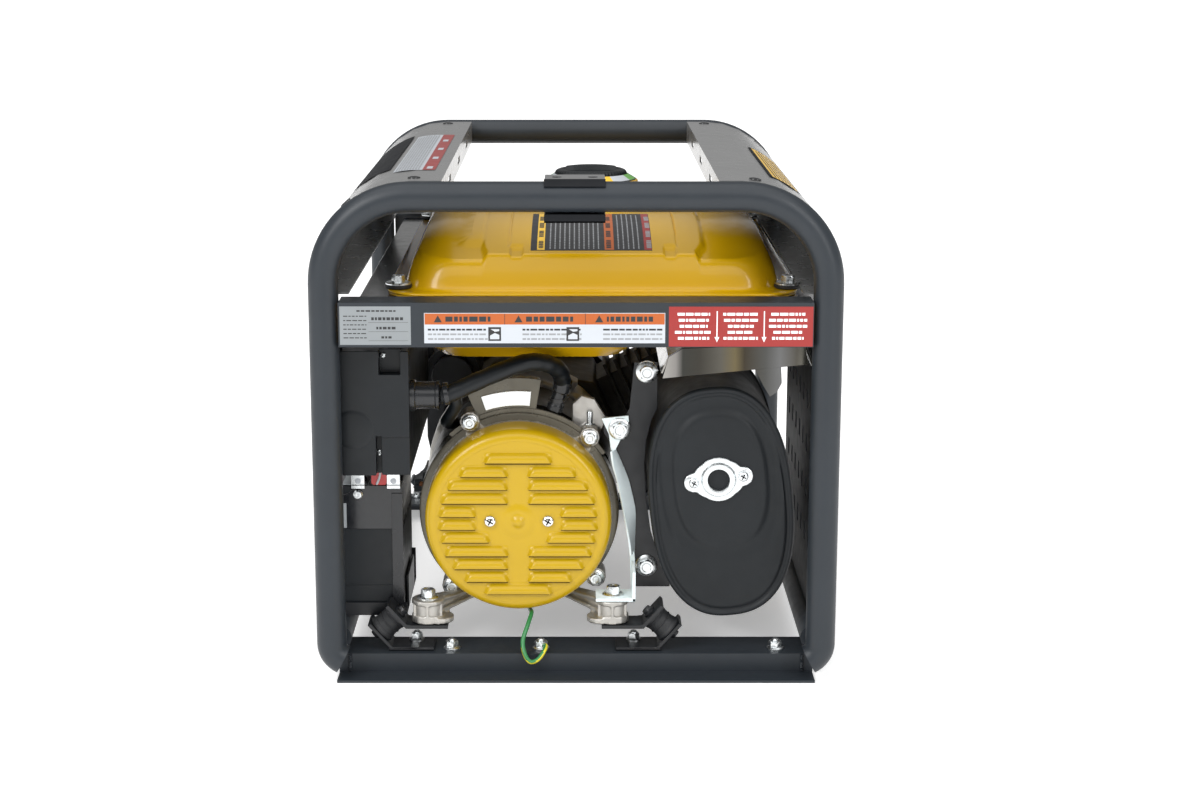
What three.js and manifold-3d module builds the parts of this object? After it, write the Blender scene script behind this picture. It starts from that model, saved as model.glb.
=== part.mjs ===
// Open-frame portable generator, rebuilt as separate bodies.
// Millimetres, +Z up, +X right and +Y away from the alternator end; ground at Z = 0.
import * as THREE from 'three';
import { mergeVertices } from 'three/addons/utils/BufferGeometryUtils.js';
import Module from 'manifold-3d';

const wasm = await Module();
wasm.setup();

// ---------- driving dimensions ----------
const GAP = 0.3;
const SMALLEST = 0.01;
const FRAME = { sideX: 207.5, topZ: 412.5, hoopY: 280, tubeR: 12.5, bend: 71.5, footBend: 16,
  footTurn: 66, footZ: 32 };
const CROSS = { halfLength: 203, footHalfLength: 202.7, topZ: 18, sheet: 2, webY: 267.2, backY: 222,
  toeY: 291 };
const RAIL = { x: 204, z: 29.3, r: 11, halfLength: 258 };
const COVER = { sheet: 1.5, halfLength: 267, leftInnerX: -110, rightInnerX: 117, lipZ: 403, footZ: 330,
  footX: 188 };
const PLATE = { halfLength: 194.7, y: 291, sheet: 1.5, z0: 290, z1: 327, backY: 260.5 };
const TANK = { x0: -160, x1: 188, halfY: 250, flangeZ: 325.2, flangeTop: 327.2, crestZ: 363, topZ: 373,
  wall: 1.6 };
const BOWL = { x0: -128, x1: 51, halfY: 214, z: 264.5, shallowX: 164, shallowZ: 301 };
const CAP = { x: 14.4, y: 60, dishR: 45, dishZ: 388, r: 35, topZ: 401 };
const AXIS = { x: -49.5, z: 130 };
const ALT = { coverR: 80, coverY: -251, bracketY: -212, statorY: -188, adapterY: -72, engineY: -20,
  earR: 90 };
const ENGINE = { y0: -20, y1: 108, lean: 25, blockX0: -142, blockX1: 30, floorZ: 40 };
const REAR = { flywheelY0: 121, flywheelY1: 158, shroudY0: 111, shroudY1: 172, shroudR: 102,
  recoilY1: 208 };
const MUFFLER = { x: 123.5, z: 148, halfX: 60, halfZ: 99, tilt: 6, frontY: -257, rearY: -78 };
const ARRESTOR = { x: 120.7, z: 169.7, r: 19, holeR: 9.5, earX: 21, tilt: -8 };
const MOUNT = { frontY: -247, halfWidth: 14, angle: 48, rubberR: 11.6, rubberL: 19, centreX: -44,
  spread: 117, footZ: 38 };
const FOOT = { spread: 79.3, centreX: -48.1, r: 14.4, baseZ: 41.3, topZ: 61.8 };
const GLAND = { y: -246, z: 240.2, r: 11.2, length: 24 };
const BOX = { x0: -197, x1: -140, y0: -262, y1: -20, z0: 174, z1: 281 };
const BATTERY = { x0: -206, x1: -150, y0: -228, y1: -124, z0: 42.4, z1: 156 };
const PAINT = { frame: 0x3a3e44, yellow: 0xe1b41c, black: 0x1d1e20, rubber: 0x232323, steel: 0xb9bcc0,
  cast: 0xa8a49c, copper: 0xb06a30, muffler: 0x2f3234, zinc: 0xcfd4d6, red: 0xb02018, green: 0x2f8a3c };

// ---------- geometry helpers ----------
const V = (x, y, z) => new THREE.Vector3(x, y, z);
const rad = THREE.MathUtils.degToRad;

function bare(geometry) {
  const copy = geometry.clone();
  copy.deleteAttribute('normal');
  copy.deleteAttribute('uv');
  return mergeVertices(copy, 1e-4);
}

function triangles(geometry) {
  const index = geometry.index.array;
  const kept = [];
  for (let i = 0; i < index.length; i += 3) {
    const [a, b, c] = [index[i], index[i + 1], index[i + 2]];
    if (a !== b && b !== c && a !== c) kept.push(a, b, c);
  }
  return Uint32Array.from(kept);
}

function toManifold(geometry) {
  const welded = bare(geometry);
  const mesh = new wasm.Mesh({
    numProp: 3, vertProperties: Float32Array.from(welded.attributes.position.array),
      triVerts: triangles(welded) });
  return new wasm.Manifold(mesh);
}

function fromManifold(solid) {
  const mesh = solid.simplify(SMALLEST).getMesh();
  const geometry = new THREE.BufferGeometry();
  geometry.setAttribute('position', new THREE.BufferAttribute(Float32Array.from(mesh.vertProperties), 3));
  geometry.setIndex(new THREE.BufferAttribute(Uint32Array.from(mesh.triVerts), 1));
  return geometry;
}

function union(...geometries) {
  return fromManifold(wasm.Manifold.union(geometries.flat().map(toManifold)));
}

function cut(base, ...tools) {
  return fromManifold(toManifold(base).subtract(wasm.Manifold.union(tools.flat().map(toManifold))));
}

function mirrorX(geometry, about = 0) {
  const copy = bare(geometry);
  copy.applyMatrix4(new THREE.Matrix4().makeScale(-1, 1, 1));
  copy.translate(2 * about, 0, 0);
  const index = copy.index.array;
  for (let i = 0; i < index.length; i += 3) [index[i], index[i + 1]] = [index[i + 1], index[i]];
  return copy;
}

function mirrorY(geometry) {
  const turned = mirrorX(geometry);
  turned.rotateZ(Math.PI);
  return turned;
}

function box(x0, x1, y0, y1, z0, z1) {
  const geometry = new THREE.BoxGeometry(x1 - x0, y1 - y0, z1 - z0);
  geometry.translate((x0 + x1) / 2, (y0 + y1) / 2, (z0 + z1) / 2);
  return geometry;
}

function shapeOf(points) {
  const list = points.map(([a, b]) => new THREE.Vector2(a, b));
  if (THREE.ShapeUtils.area(list) < 0) list.reverse();
  return new THREE.Shape(list);
}

function flat(points, depth) {
  return new THREE.ExtrudeGeometry(shapeOf(points), { depth, bevelEnabled: false, steps: 1 });
}

// An [x, z] outline swept along Y.
function prismY(points, y0, y1) {
  const geometry = flat(points, y1 - y0);
  geometry.rotateX(Math.PI / 2);
  geometry.translate(0, y1, 0);
  return geometry;
}

// A [y, z] outline swept along X.
function prismX(points, x0, x1) {
  const geometry = flat(points, x1 - x0);
  geometry.applyMatrix4(new THREE.Matrix4().makeBasis(V(0, 1, 0), V(0, 0, 1), V(1, 0, 0)));
  geometry.translate(x0, 0, 0);
  return geometry;
}

function prismZ(points, z0, z1) {
  const geometry = flat(points, z1 - z0);
  geometry.translate(0, 0, z0);
  return geometry;
}

// Rings of equal count joined into one closed body; the ends are fanned.
function loft(rings) {
  const count = rings[0].length;
  const position = rings.flat().flatMap((p) => [p.x, p.y, p.z]);
  const index = [];
  for (let i = 0; i + 1 < rings.length; i += 1) {
    for (let j = 0; j < count; j += 1) {
      const [a, b] = [i * count + j, i * count + ((j + 1) % count)];
      index.push(a, b, b + count, a, b + count, a + count);
    }
  }
  const last = (rings.length - 1) * count;
  for (let j = 1; j + 1 < count; j += 1) {
    index.push(0, j + 1, j);
    index.push(last, last + j, last + j + 1);
  }
  if (signedVolume(position, index) < 0) {
    for (let i = 0; i < index.length; i += 3) [index[i], index[i + 1]] = [index[i + 1], index[i]];
  }
  const geometry = new THREE.BufferGeometry();
  geometry.setAttribute('position', new THREE.Float32BufferAttribute(position, 3));
  geometry.setIndex(index);
  return geometry;
}

function signedVolume(position, index) {
  let sum = 0;
  for (let i = 0; i < index.length; i += 3) {
    const [a, b, c] = [index[i], index[i + 1], index[i + 2]].map((k) => V(...position.slice(3 * k,
      3 * k + 3)));
    sum += a.dot(b.cross(c));
  }
  return sum / 6;
}

// A round bar through the given points, its rings carried along without twisting.
function bar(points, radius, sides = 10) {
  let side = null;
  const rings = points.map((p, i) => {
    const before = points[Math.max(0, i - 1)];
    const after = points[Math.min(points.length - 1, i + 1)];
    const along = after.clone().sub(before).normalize();
    if (!side) side = Math.abs(along.z) < 0.9 ? V(0, 0, 1) : V(1, 0, 0);
    side = side.clone().sub(along.clone().multiplyScalar(side.dot(along))).normalize();
    const up = along.clone().cross(side);
    const ring = [];
    for (let k = 0; k < sides; k += 1) {
      const a = ((k + 0.5) / sides) * 2 * Math.PI;
      ring.push(p.clone().addScaledVector(side, radius * Math.cos(a)).addScaledVector(up,
        radius * Math.sin(a)));
    }
    return ring;
  });
  return loft(rings);
}

function smooth(points, steps) {
  return new THREE.CatmullRomCurve3(points, false, 'centripetal').getPoints(steps);
}

// Turned profile: [radius, y] pairs about the shaft line, starting and ending on the axis or closed.
function turned(profile, sides, x = AXIS.x, z = AXIS.z) {
  const geometry = new THREE.LatheGeometry(profile.map(([r, y]) => new THREE.Vector2(r, y)), sides);
  const solid = bare(geometry);
  if (signedVolume([...solid.attributes.position.array], [...triangles(solid)]) < 0) {
    const index = solid.index.array;
    for (let i = 0; i < index.length; i += 3) [index[i], index[i + 1]] = [index[i + 1], index[i]];
  }
  solid.translate(x, 0, z);
  return solid;
}

function arc(cx, cy, r, from, to, steps) {
  const points = [];
  for (let i = 0; i <= steps; i += 1) {
    const a = rad(from + ((to - from) * i) / steps);
    points.push([cx + r * Math.cos(a), cy + r * Math.sin(a)]);
  }
  return points;
}

function roundRect(x0, x1, y0, y1, r, steps) {
  return [...arc(x1 - r, y1 - r, r, 0, 90, steps), ...arc(x0 + r, y1 - r, r, 90, 180, steps),
    ...arc(x0 + r, y0 + r, r, 180, 270, steps), ...arc(x1 - r, y0 + r, r, 270, 360, steps)];
}

// Rounded-rectangle rings stacked up Z: [z, inset from the first outline, corner radius].
function stack(outline, levels, steps) {
  const { x0, x1, y0, y1 } = outline;
  return loft(levels.map(([z, inset, r]) => roundRect(x0 + inset, x1 - inset, y0 + inset, y1 - inset, r,
    steps)
    .map(([x, y]) => V(x, y, z))));
}

function rod(from, to, radius, sides = 12) {
  return bar([V(...from), V(...to)], radius, sides);
}

const generator = new THREE.Group();
generator.name = 'portable_generator';

function part(name, geometry, color) {
  const mesh = new THREE.Mesh(geometry, new THREE.MeshStandardMaterial({ color, name: `${name}_paint` }));
  mesh.name = name;
  generator.add(mesh);
}

// ---------- frame ----------
function hoop(y) {
  const half = [];
  const { sideX, topZ, bend, footBend, footTurn, footZ } = FRAME;
  for (const a of [footTurn, footTurn * 0.67, footTurn * 0.33, 0]) {
    half.push([sideX - footBend + footBend * Math.cos(rad(a)), footZ - footBend * Math.sin(rad(a))]);
  }
  half.push(...arc(sideX - bend, topZ - bend, bend, 0, 90, 8));
  const left = half.map(([x, z]) => [-x, z]);
  return bar([...left, ...half.reverse()].map(([x, z]) => V(x, y, z)), FRAME.tubeR, 12);
}

function crossMember() {
  const { halfLength, footHalfLength, topZ, sheet, webY, backY, toeY } = CROSS;
  const section = [[-webY, 0], [-webY + sheet, 0], [-webY + sheet, topZ - sheet], [-backY, topZ - sheet],
    [-backY, topZ], [-webY, topZ]];
  return union(prismX(section, -halfLength, halfLength),
    box(-footHalfLength, footHalfLength, -toeY, -webY + sheet, 0, sheet));
}

function topCover(innerX) {
  const { sheet, halfLength, lipZ, footZ, footX } = COVER;
  const r = FRAME.bend + FRAME.tubeR - 1;
  const centre = [FRAME.sideX - FRAME.bend, FRAME.topZ - FRAME.bend];
  const outer = [[innerX, lipZ], [innerX, centre[1] + r], ...arc(...centre, r, 90, 0, 7),
    [centre[0] + r, footZ], [footX, footZ]];
  const inner = [[footX, footZ + sheet], [centre[0] + r - sheet, footZ + sheet],
    ...arc(...centre, r - sheet, 0, 90, 7), [innerX + sheet, centre[1] + r - sheet],
      [innerX + sheet, lipZ]];
  const slots = [-150, 0, 150].map((y) => box(innerX - 5, innerX + 5, y - 18, y + 18, 409, 415));
  return cut(prismY([...outer, ...inner], -halfLength, halfLength), slots);
}

function crossPlate() {
  const { halfLength, y, sheet, z0, z1, backY } = PLATE;
  const section = [[-y, z0], [-280, z0], [-280, z0 + sheet], [-y + sheet, z0 + sheet],
    [-y + sheet, z1 - sheet], [-backY, z1 - sheet], [-backY, z1], [-y, z1]];
  return prismX(section, -halfLength, halfLength);
}

function tankRail(x0, x1, legX) {
  const sheet = 1.8;
  const top = TANK.flangeZ - 2 - GAP;
  return union(box(x0, x1, -PLATE.backY + 0.6, PLATE.backY - 0.6, top - sheet, top),
    box(legX, legX + sheet, -PLATE.backY + 0.6, PLATE.backY - 0.6, top - 22, top));
}

function latchClip() {
  const back = -FRAME.hoopY + FRAME.tubeR + GAP;
  const section = [[back, 395], [back + 1.6, 395], [back + 1.6, 422.4], [-222, 422.4], [-222, 424],
    [back, 424]];
  const holes = [-16, 14].map((x) => rod([x, -240, 415], [x, -240, 430], 4.2, 10));
  return cut(prismX(section, -26, 24), holes);
}

function sideGuard() {
  const slots = [];
  for (let row = 0; row < 5; row += 1) {
    for (let column = 0; column < 7; column += 1) {
      const y = -205 + column * 31;
      const z = 92 + row * 40;
      slots.push(box(195, 215, y, y + 10, z, z + 16));
    }
  }
  return union(cut(box(204, 205.5, -225, 17, 41, 292), slots), box(196, 205, -225, 17, 290.5, 292));
}

function batteryTray() {
  const { x0, x1, y0, y1, z0 } = BATTERY;
  const top = z0 - GAP;
  return union(box(x0 - 3, x1 + 3, y0 - 3, y1 + 3, top - 1.5, top),
    box(x1 + 1.2, x1 + 3, y0 + 20, y1 - 20, top - 1.5, 70),
    box(x0 - 3, x1 + 3, y1 + 1.2, y1 + 3, top - 1.5, 70), box(x0 - 3, x1 + 3, y0 - 3, y0 - 1.2,
      top - 1.5, 52));
}

part('front_hoop', hoop(-FRAME.hoopY), PAINT.frame);
part('rear_hoop', hoop(FRAME.hoopY), PAINT.frame);
part('front_crossmember', crossMember(), PAINT.frame);
part('left_bottom_rail', rod([-RAIL.x, -RAIL.halfLength, RAIL.z], [-RAIL.x, RAIL.halfLength, RAIL.z],
  RAIL.r), PAINT.frame);
part('right_bottom_rail', rod([RAIL.x, -RAIL.halfLength, RAIL.z], [RAIL.x, RAIL.halfLength, RAIL.z],
  RAIL.r), PAINT.frame);
part('left_top_cover', mirrorX(topCover(-COVER.leftInnerX)), PAINT.frame);
part('right_top_cover', topCover(COVER.rightInnerX), PAINT.frame);
part('front_label_plate', crossPlate(), PAINT.frame);
part('rear_cross_plate', mirrorY(crossPlate()), PAINT.frame);
part('left_tank_rail', tankRail(-182, -143, -182), PAINT.frame);
part('right_tank_rail', tankRail(172, 203, 201.2), PAINT.frame);
part('top_latch_clip', latchClip(), PAINT.black);
part('right_side_guard', sideGuard(), PAINT.black);
part('battery_tray', batteryTray(), PAINT.black);

// ---------- fuel tank ----------
const tankOutline = { x0: TANK.x0, x1: TANK.x1, y0: -TANK.halfY, y1: TANK.halfY };

function upperShell() {
  const { flangeZ, flangeTop, crestZ, topZ, wall } = TANK;
  const dome = [[flangeZ, 0, 34], [flangeTop, 0, 34], [flangeTop + 0.3, 14, 36], [flangeTop + 8, 18, 36],
    [crestZ - 9, 24, 40], [crestZ, 31, 40], [topZ - 3, 46, 40], [topZ, 66, 40]];
  const hollow = [[flangeZ - 1, 20, 36], [flangeTop + 8, 20, 36], [crestZ - 10, 26, 38],
    [crestZ - wall, 33, 38], [topZ - wall - 3, 47, 38], [topZ - wall, 66, 38]];
  const bodyOnly = cut(stack(tankOutline, dome, 4), stack(tankOutline, hollow, 4));
  const { x, y, dishR, dishZ } = CAP;
  const neck = [[27, topZ - 6], [dishR + 5, topZ - 6], [dishR + 4, topZ + 2], [dishR, dishZ], [30, dishZ],
    [30, dishZ - 4], [27, dishZ - 4], [27, topZ - 6]];
  const collar = new THREE.LatheGeometry(neck.map(([r, z]) => new THREE.Vector2(r, z)), 24);
  collar.rotateX(Math.PI / 2);
  collar.translate(x, y, 0);
  const mouth = rod([x, y, topZ - 30], [x, y, topZ + 10], 28, 20);
  return union(cut(bodyOnly, mouth), outward(collar));
}

function outward(geometry) {
  const solid = bare(geometry);
  const index = solid.index.array;
  if (signedVolume([...solid.attributes.position.array], [...triangles(solid)]) < 0) {
    for (let i = 0; i < index.length; i += 3) [index[i], index[i + 1]] = [index[i + 1], index[i]];
  }
  return solid;
}

function lowerShell() {
  const top = TANK.flangeZ - GAP;
  const { x0, x1, halfY, z, shallowX, shallowZ } = BOWL;
  const flange = stack(tankOutline, [[top - 1.7, 0.5, 34], [top, 0.5, 34]], 4);
  const shallow = stack({ x0, x1: shallowX, y0: -halfY, y1: halfY },
    [[shallowZ, 12, 26], [shallowZ + 8, 0, 30], [top, 0, 30]], 3);
  const bowl = stack({ x0, x1, y0: -halfY, y1: halfY }, [[z, 12, 24], [z + 10, 0, 26],
    [shallowZ + 4, 0, 26]], 3);
  const inShallow = stack({ x0: x0 + 2, x1: shallowX - 2, y0: 2 - halfY, y1: halfY - 2 },
    [[shallowZ + 2, 12, 24], [shallowZ + 9, 0, 28], [top + 1, 0, 28]], 3);
  const inBowl = stack({ x0: x0 + 2, x1: x1 - 2, y0: 2 - halfY, y1: halfY - 2 },
    [[z + 2, 12, 22], [z + 11, 0, 24], [shallowZ + 5, 0, 24]], 3);
  const outlet = rod([-96, 150, z - 5], [-96, 150, z + 8], 5, 10);
  return cut(union(flange, shallow, bowl), inShallow, inBowl, outlet);
}

function fuelCap() {
  const { x, y, r, dishZ, topZ } = CAP;
  const ribs = [];
  const sides = 24;
  for (let i = 0; i < sides * 2; i += 1) {
    const a = (i / sides) * Math.PI;
    const reach = i % 2 ? r : r - 1.6;
    ribs.push([x + reach * Math.cos(a), y + reach * Math.sin(a)]);
  }
  const skirt = prismZ(ribs, dishZ + GAP, topZ - 3);
  const crown = new THREE.CylinderGeometry(r - 5, r - 1.7, 3.2, 24);
  crown.rotateX(Math.PI / 2);
  crown.translate(x, y, topZ - 1.6);
  const plug = rod([x, y, dishZ - 3.4], [x, y, dishZ + 2], 26, 16);
  const grip = box(x - 24, x + 24, y - 4, y + 4, topZ - 1, topZ + 5);
  return union(skirt, crown, plug, grip);
}

part('tank_upper_shell', upperShell(), PAINT.yellow);
part('tank_lower_shell', lowerShell(), PAINT.yellow);
part('fuel_cap', fuelCap(), PAINT.black);

const VALVE = { x: -96, y: 150, z: 252 };
part('fuel_valve_body', union(rod([VALVE.x, VALVE.y, VALVE.z - 6], [VALVE.x, VALVE.y, BOWL.z - GAP], 8),
  rod([VALVE.x - 10, VALVE.y, VALVE.z], [VALVE.x + 6, VALVE.y, VALVE.z], 9),
  rod([VALVE.x, VALVE.y, VALVE.z], [VALVE.x + 22, VALVE.y, VALVE.z], 3.5)), PAINT.cast);
part('fuel_valve_lever', union(rod([VALVE.x - 18, VALVE.y, VALVE.z], [VALVE.x - 10.3, VALVE.y, VALVE.z],
  7), box(VALVE.x - 18, VALVE.x - 14, VALVE.y - 34, VALVE.y + 2, VALVE.z - 5, VALVE.z + 5)), PAINT.red);
part('fuel_hose', bar(smooth([V(VALVE.x + 22.3, VALVE.y, VALVE.z), V(-66, VALVE.y, VALVE.z),
  V(-20, 148, 249),
  V(40, 142, 243), V(70, 142, 235), V(78, 144, 224), V(78, 144, 215.6)], 16), 4.5, 8), PAINT.black);

// ---------- rubber mounts ----------
// The right front mount is drawn once; mirrored copies serve the other corners.
const mountX = MOUNT.centreX + MOUNT.spread;
const mountZ = 40;

function onSlope(along, off) {
  const a = rad(MOUNT.angle);
  return [mountX + along * Math.cos(a) + off * Math.sin(a),
    mountZ + along * Math.sin(a) - off * Math.cos(a)];
}

function outerBracket() {
  const { frontY: y, halfWidth: w, rubberL } = MOUNT;
  const off = rubberL / 2 + GAP;
  const deck = CROSS.topZ + GAP;
  const [low, high] = [onSlope(-16, off), onSlope(12.5, off)];
  const [lowOut, highOut] = [onSlope(-14.8, off + 3), onSlope(12.5, off + 3)];
  const outline = [[34, deck], [low[0] + 4, deck], lowOut, highOut, high, low, [low[0] - 5, deck + 3],
    [34, deck + 3]];
  return prismY(outline, y - w, y + w);
}

function innerBracket() {
  const { frontY: y, halfWidth: w, rubberL } = MOUNT;
  const off = -rubberL / 2 - GAP;
  const { footZ: foot } = MOUNT;
  const [low, high] = [onSlope(-11.4, off), onSlope(14, off)];
  const [lowIn, highIn] = [onSlope(-9.4, off - 3), onSlope(14, off - 3)];
  const outline = [[22, foot], [low[0] - 3, foot], low, high, highIn, lowIn, [low[0] - 5, foot + 3],
    [22, foot + 3]];
  return prismY(outline, y - w, y + w);
}

function isolator() {
  const y = MOUNT.frontY;
  const l = MOUNT.rubberL / 2;
  const [a, b] = [onSlope(0, -l), onSlope(0, l)];
  return rod([a[0], y, a[1]], [b[0], y, b[1]], MOUNT.rubberR, 16);
}

const left = (geometry) => mirrorX(geometry, MOUNT.centreX);
part('outer_bracket_front_right', outerBracket(), PAINT.black);
part('outer_bracket_front_left', left(outerBracket()), PAINT.black);
part('inner_bracket_front_right', innerBracket(), PAINT.black);
part('inner_bracket_front_left', left(innerBracket()), PAINT.black);
part('isolator_front_right', isolator(), PAINT.rubber);
part('isolator_front_left', left(isolator()), PAINT.rubber);
part('isolator_rear_right', mirrorY(isolator()), PAINT.rubber);
part('isolator_rear_left', mirrorY(left(isolator())), PAINT.rubber);

function sunk(geometry) {
  const copy = geometry.clone();
  copy.translate(0, 0, -GAP * 2);
  return copy;
}

part('rear_crossmember', union(mirrorY(crossMember()), sunk(mirrorY(outerBracket())),
  sunk(mirrorY(left(outerBracket())))), PAINT.frame);

// ---------- alternator ----------
const polar = (r, deg) => [AXIS.x + r * Math.cos(rad(deg)), AXIS.z + r * Math.sin(rad(deg))];
const EARS = [118, 47, -42, -131];

function endBracket() {
  const { bracketY: y0, statorY: y1, earR } = ALT;
  const ring = turned([[62, y0], [84, y0], [86, y0 + 4], [86, y1], [62, y1], [62, y0]], 28);
  const spider = [];
  for (const deg of [20, 90, 160, 270]) {
    const [x, z] = polar(70, deg);
    spider.push(rod([AXIS.x, y1 - 7.5, AXIS.z], [x, y1 - 7.5, z], 6, 8));
  }
  const hub = turned([[9.4, y1 - 16], [27, y1 - 16], [27, y1 - GAP], [9.4, y1 - GAP], [9.4, y1 - 16]],
    18);
  const ears = EARS.map((deg) => {
    const [x, z] = polar(earR, deg);
    return rod([x, y0 - 2, z], [x, y1 - 1.5, z], 9, 10);
  });
  const brow = prismY([...arc(AXIS.x, AXIS.z, 116, 113, 81, 5), ...arc(AXIS.x, AXIS.z, 82, 81, 113, 5)],
    y0 + 5, y1 - 3);
  const lug = prismY([[-4, 198], [-3, 222], [5, 229], [16, 226], [27, 208], [18, 190], [4, 186]], y1 - 9,
    y1 - 3);
  const bore = rod([AXIS.x, y0 - 5, AXIS.z], [AXIS.x, y1 + 5, AXIS.z], 9.4, 18);
  return cut(union(ring, spider, hub, ears, brow, lug, castFoot(1), castFoot(-1)), bore);
}

// One mounting foot: a spool-shaped boss and a flanged arm back to the bracket's ring.
function castFoot(side) {
  const { spread, centreX, r, baseZ, topZ } = FOOT;
  const y = MOUNT.frontY;
  const x = centreX + side * spread;
  const endX = AXIS.x + side * 30;
  const arm = (halfNear, halfFar, near, far) => loft([
    [V(x, y - halfNear, near[0]), V(x, y + halfNear, near[0]), V(x, y + halfNear, near[1]),
      V(x, y - halfNear, near[1])],
    [V(endX, -197 - halfFar, far[0]), V(endX, -197 + halfFar, far[0]), V(endX, -197 + halfFar, far[1]),
      V(endX, -197 - halfFar, far[1])]]);
  return [rod([x, y, topZ - 4.6], [x, y, topZ], r, 16), rod([x, y, baseZ], [x, y, baseZ + 7], r, 16),
    rod([x, y, baseZ + 3], [x, y, topZ - 2], r - 4, 12), rod([x - side * 9, y, baseZ],
      [x - side * 9, y, baseZ + 5], r - 1, 14),
    box(x - 1.3, x + 1.3, y - r + 0.6, y + r - 0.6, baseZ + 3, topZ - 2),
    arm(12, 5, [45, 49.5], [52.5, 56]), arm(12, 5, [57.5, 61.3], [57, 59.5]),
      arm(2.5, 2.5, [47, 60], [54, 58])];
}

function endCover() {
  const { coverR: r, coverY: y, bracketY } = ALT;
  const profile = [[0, y + 1], [12, y + 1], [15, y + 2.4], [r - 9, y + 2.4], [r - 3, y + 3.6],
    [r, y + 8], [r, bracketY - GAP],
    [r - 1.5, bracketY - GAP], [r - 1.5, y + 9], [r - 4, y + 5.4], [0, y + 4]];
  return turned(profile, 40);
}

function louvres() {
  const hoods = [];
  const rows = [[-29.4, 29.9, 60.4], [7.5, 50.5, 48.5], [-50.5, -7.5, 48.5], [7.8, 60.7, 37],
    [-60.7, -7.8, 37],
    [7.8, 66.7, 25], [-66.7, -7.8, 25], [35, 68.5, 13.3], [-68.5, -35, 13.3], [35, 69, 1.9],
      [-69, -35, 1.9],
    [23.5, 67, -9.5], [-67, -23.5, -9.5], [7.6, 63.7, -21.5], [-63.7, -7.6, -21.5], [8, 57, -33],
      [-57, -8, -33],
    [7.3, 47, -44.4], [-47, -7.3, -44.4], [-30, 30, -55.5]];
  for (const [a, b, top] of rows) {
    const y = ALT.coverY + 3;
    const hood = [[y, top], [y, top - 8], [y - 3.4, top - 8], [y - 3.4, top - 6.4]];
    const solid = prismX(hood, AXIS.x + a, AXIS.x + b);
    solid.translate(0, 0, AXIS.z);
    hoods.push(solid);
  }
  return hoods;
}

part('alternator_end_bracket', endBracket(), PAINT.cast);
part('alternator_end_cover', union(endCover(), louvres()), PAINT.yellow);
part('stator_core', turned([[52, ALT.statorY + GAP], [82, ALT.statorY + GAP], [82, -168], [86, -168],
  [86, -92], [82, -92],
  [82, ALT.adapterY - GAP], [52, ALT.adapterY - GAP], [52, ALT.statorY + GAP]], 28), PAINT.steel);
part('rotor', union(turned([[0, -206], [9, -206], [9, -187.5], [15, -184], [40, -182], [50.5, -170],
  [50.5, -92], [40, -80],
  [16, -78], [12, -60], [12, -30], [0, -30]], 18), [0, 60, 120, 180, 240, 300].map((deg) => {
  const [x, z] = polar(40, deg);
  return rod([x, -78.5, z], [x, -64, z], 5, 6);
}), turned([[0, -70], [58, -70], [58, -66], [0, -66]], 20)), PAINT.copper);

function adapter() {
  const { adapterY: y0, engineY: y1 } = ALT;
  const shell = turned([[76, y0], [86, y0], [89, y0 + 6], [89, y1 - 4], [86, y1 - GAP], [70, y1 - GAP],
    [70, y1 - 6], [82, y1 - 8], [82, y0 + 10], [76, y0]], 28);
  const brow = prismY([...arc(AXIS.x, AXIS.z, 98, 128, 58, 7), ...arc(AXIS.x, AXIS.z, 84, 58, 128, 7)],
    y0 + 2, y0 + 24);
  const windows = [200, 245, 295, 340].map((deg) => {
    const [x, z] = polar(86, deg);
    const slot = box(-13, 13, y0 + 14, y1 - 12, -12, 12);
    slot.rotateY(-rad(deg - 90));
    slot.translate(x, 0, z);
    return slot;
  });
  return cut(union(shell, brow), windows);
}

part('alternator_adapter', adapter(), PAINT.cast);

// ---------- engine ----------
function crankcase() {
  const { y0, y1, blockX0, blockX1, floorZ } = ENGINE;
  const outline = [[blockX0, floorZ + 4], [blockX0 + 8, floorZ], [blockX1 - 4, floorZ],
    [blockX1, floorZ + 6], [blockX1, 110],
    leanedPoint(38, 91.6), leanedPoint(-38, 91.6), [-30, 210], [-84, 196], [-112, 166], [-132, 130],
      [blockX0, 96]];
  const body = prismY(outline, y0, y1);
  const feet = [[-118, 1], [26, 1]].flatMap(([x]) => [rod([x, 240, MOUNT.footZ + 1.5], [x, 240, 60], 13,
    10), bar([V(x, 238, 42), V(x, y1 - 6, 42)], 8, 8)]);
  const plates = [sunk(mirrorY(innerBracket())), sunk(mirrorY(left(innerBracket())))].map((g) => {
    g.translate(0, 0, GAP * 2);
    return g;
  });
  const main = rod([AXIS.x, y0 - 5, AXIS.z], [AXIS.x, y1 + 5, AXIS.z], 16, 20);
  const chamber = rod([AXIS.x, y0 + 14, AXIS.z], [AXIS.x, y1 - 14, AXIS.z], 44, 20);
  const filler = rod([blockX0 - 2, 50, 84], [blockX0 + 14, 50, 84], 13, 14);
  const well = rod([blockX0 - 5, 50, 84], [blockX0 + 12, 50, 84], 9.5, 12);
  return cut(union(body, feet, plates, filler), main, chamber, well);
}

// Built upright on the crank line, then leaned over toward +X.
function leanedPoint(x, z) {
  const a = rad(90 - ENGINE.lean);
  return [AXIS.x + x * Math.cos(a) + z * Math.sin(a), AXIS.z - x * Math.sin(a) + z * Math.cos(a)];
}

function leaned(geometry) {
  geometry.rotateY(rad(90 - ENGINE.lean));
  geometry.translate(AXIS.x, 0, AXIS.z);
  return geometry;
}

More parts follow.
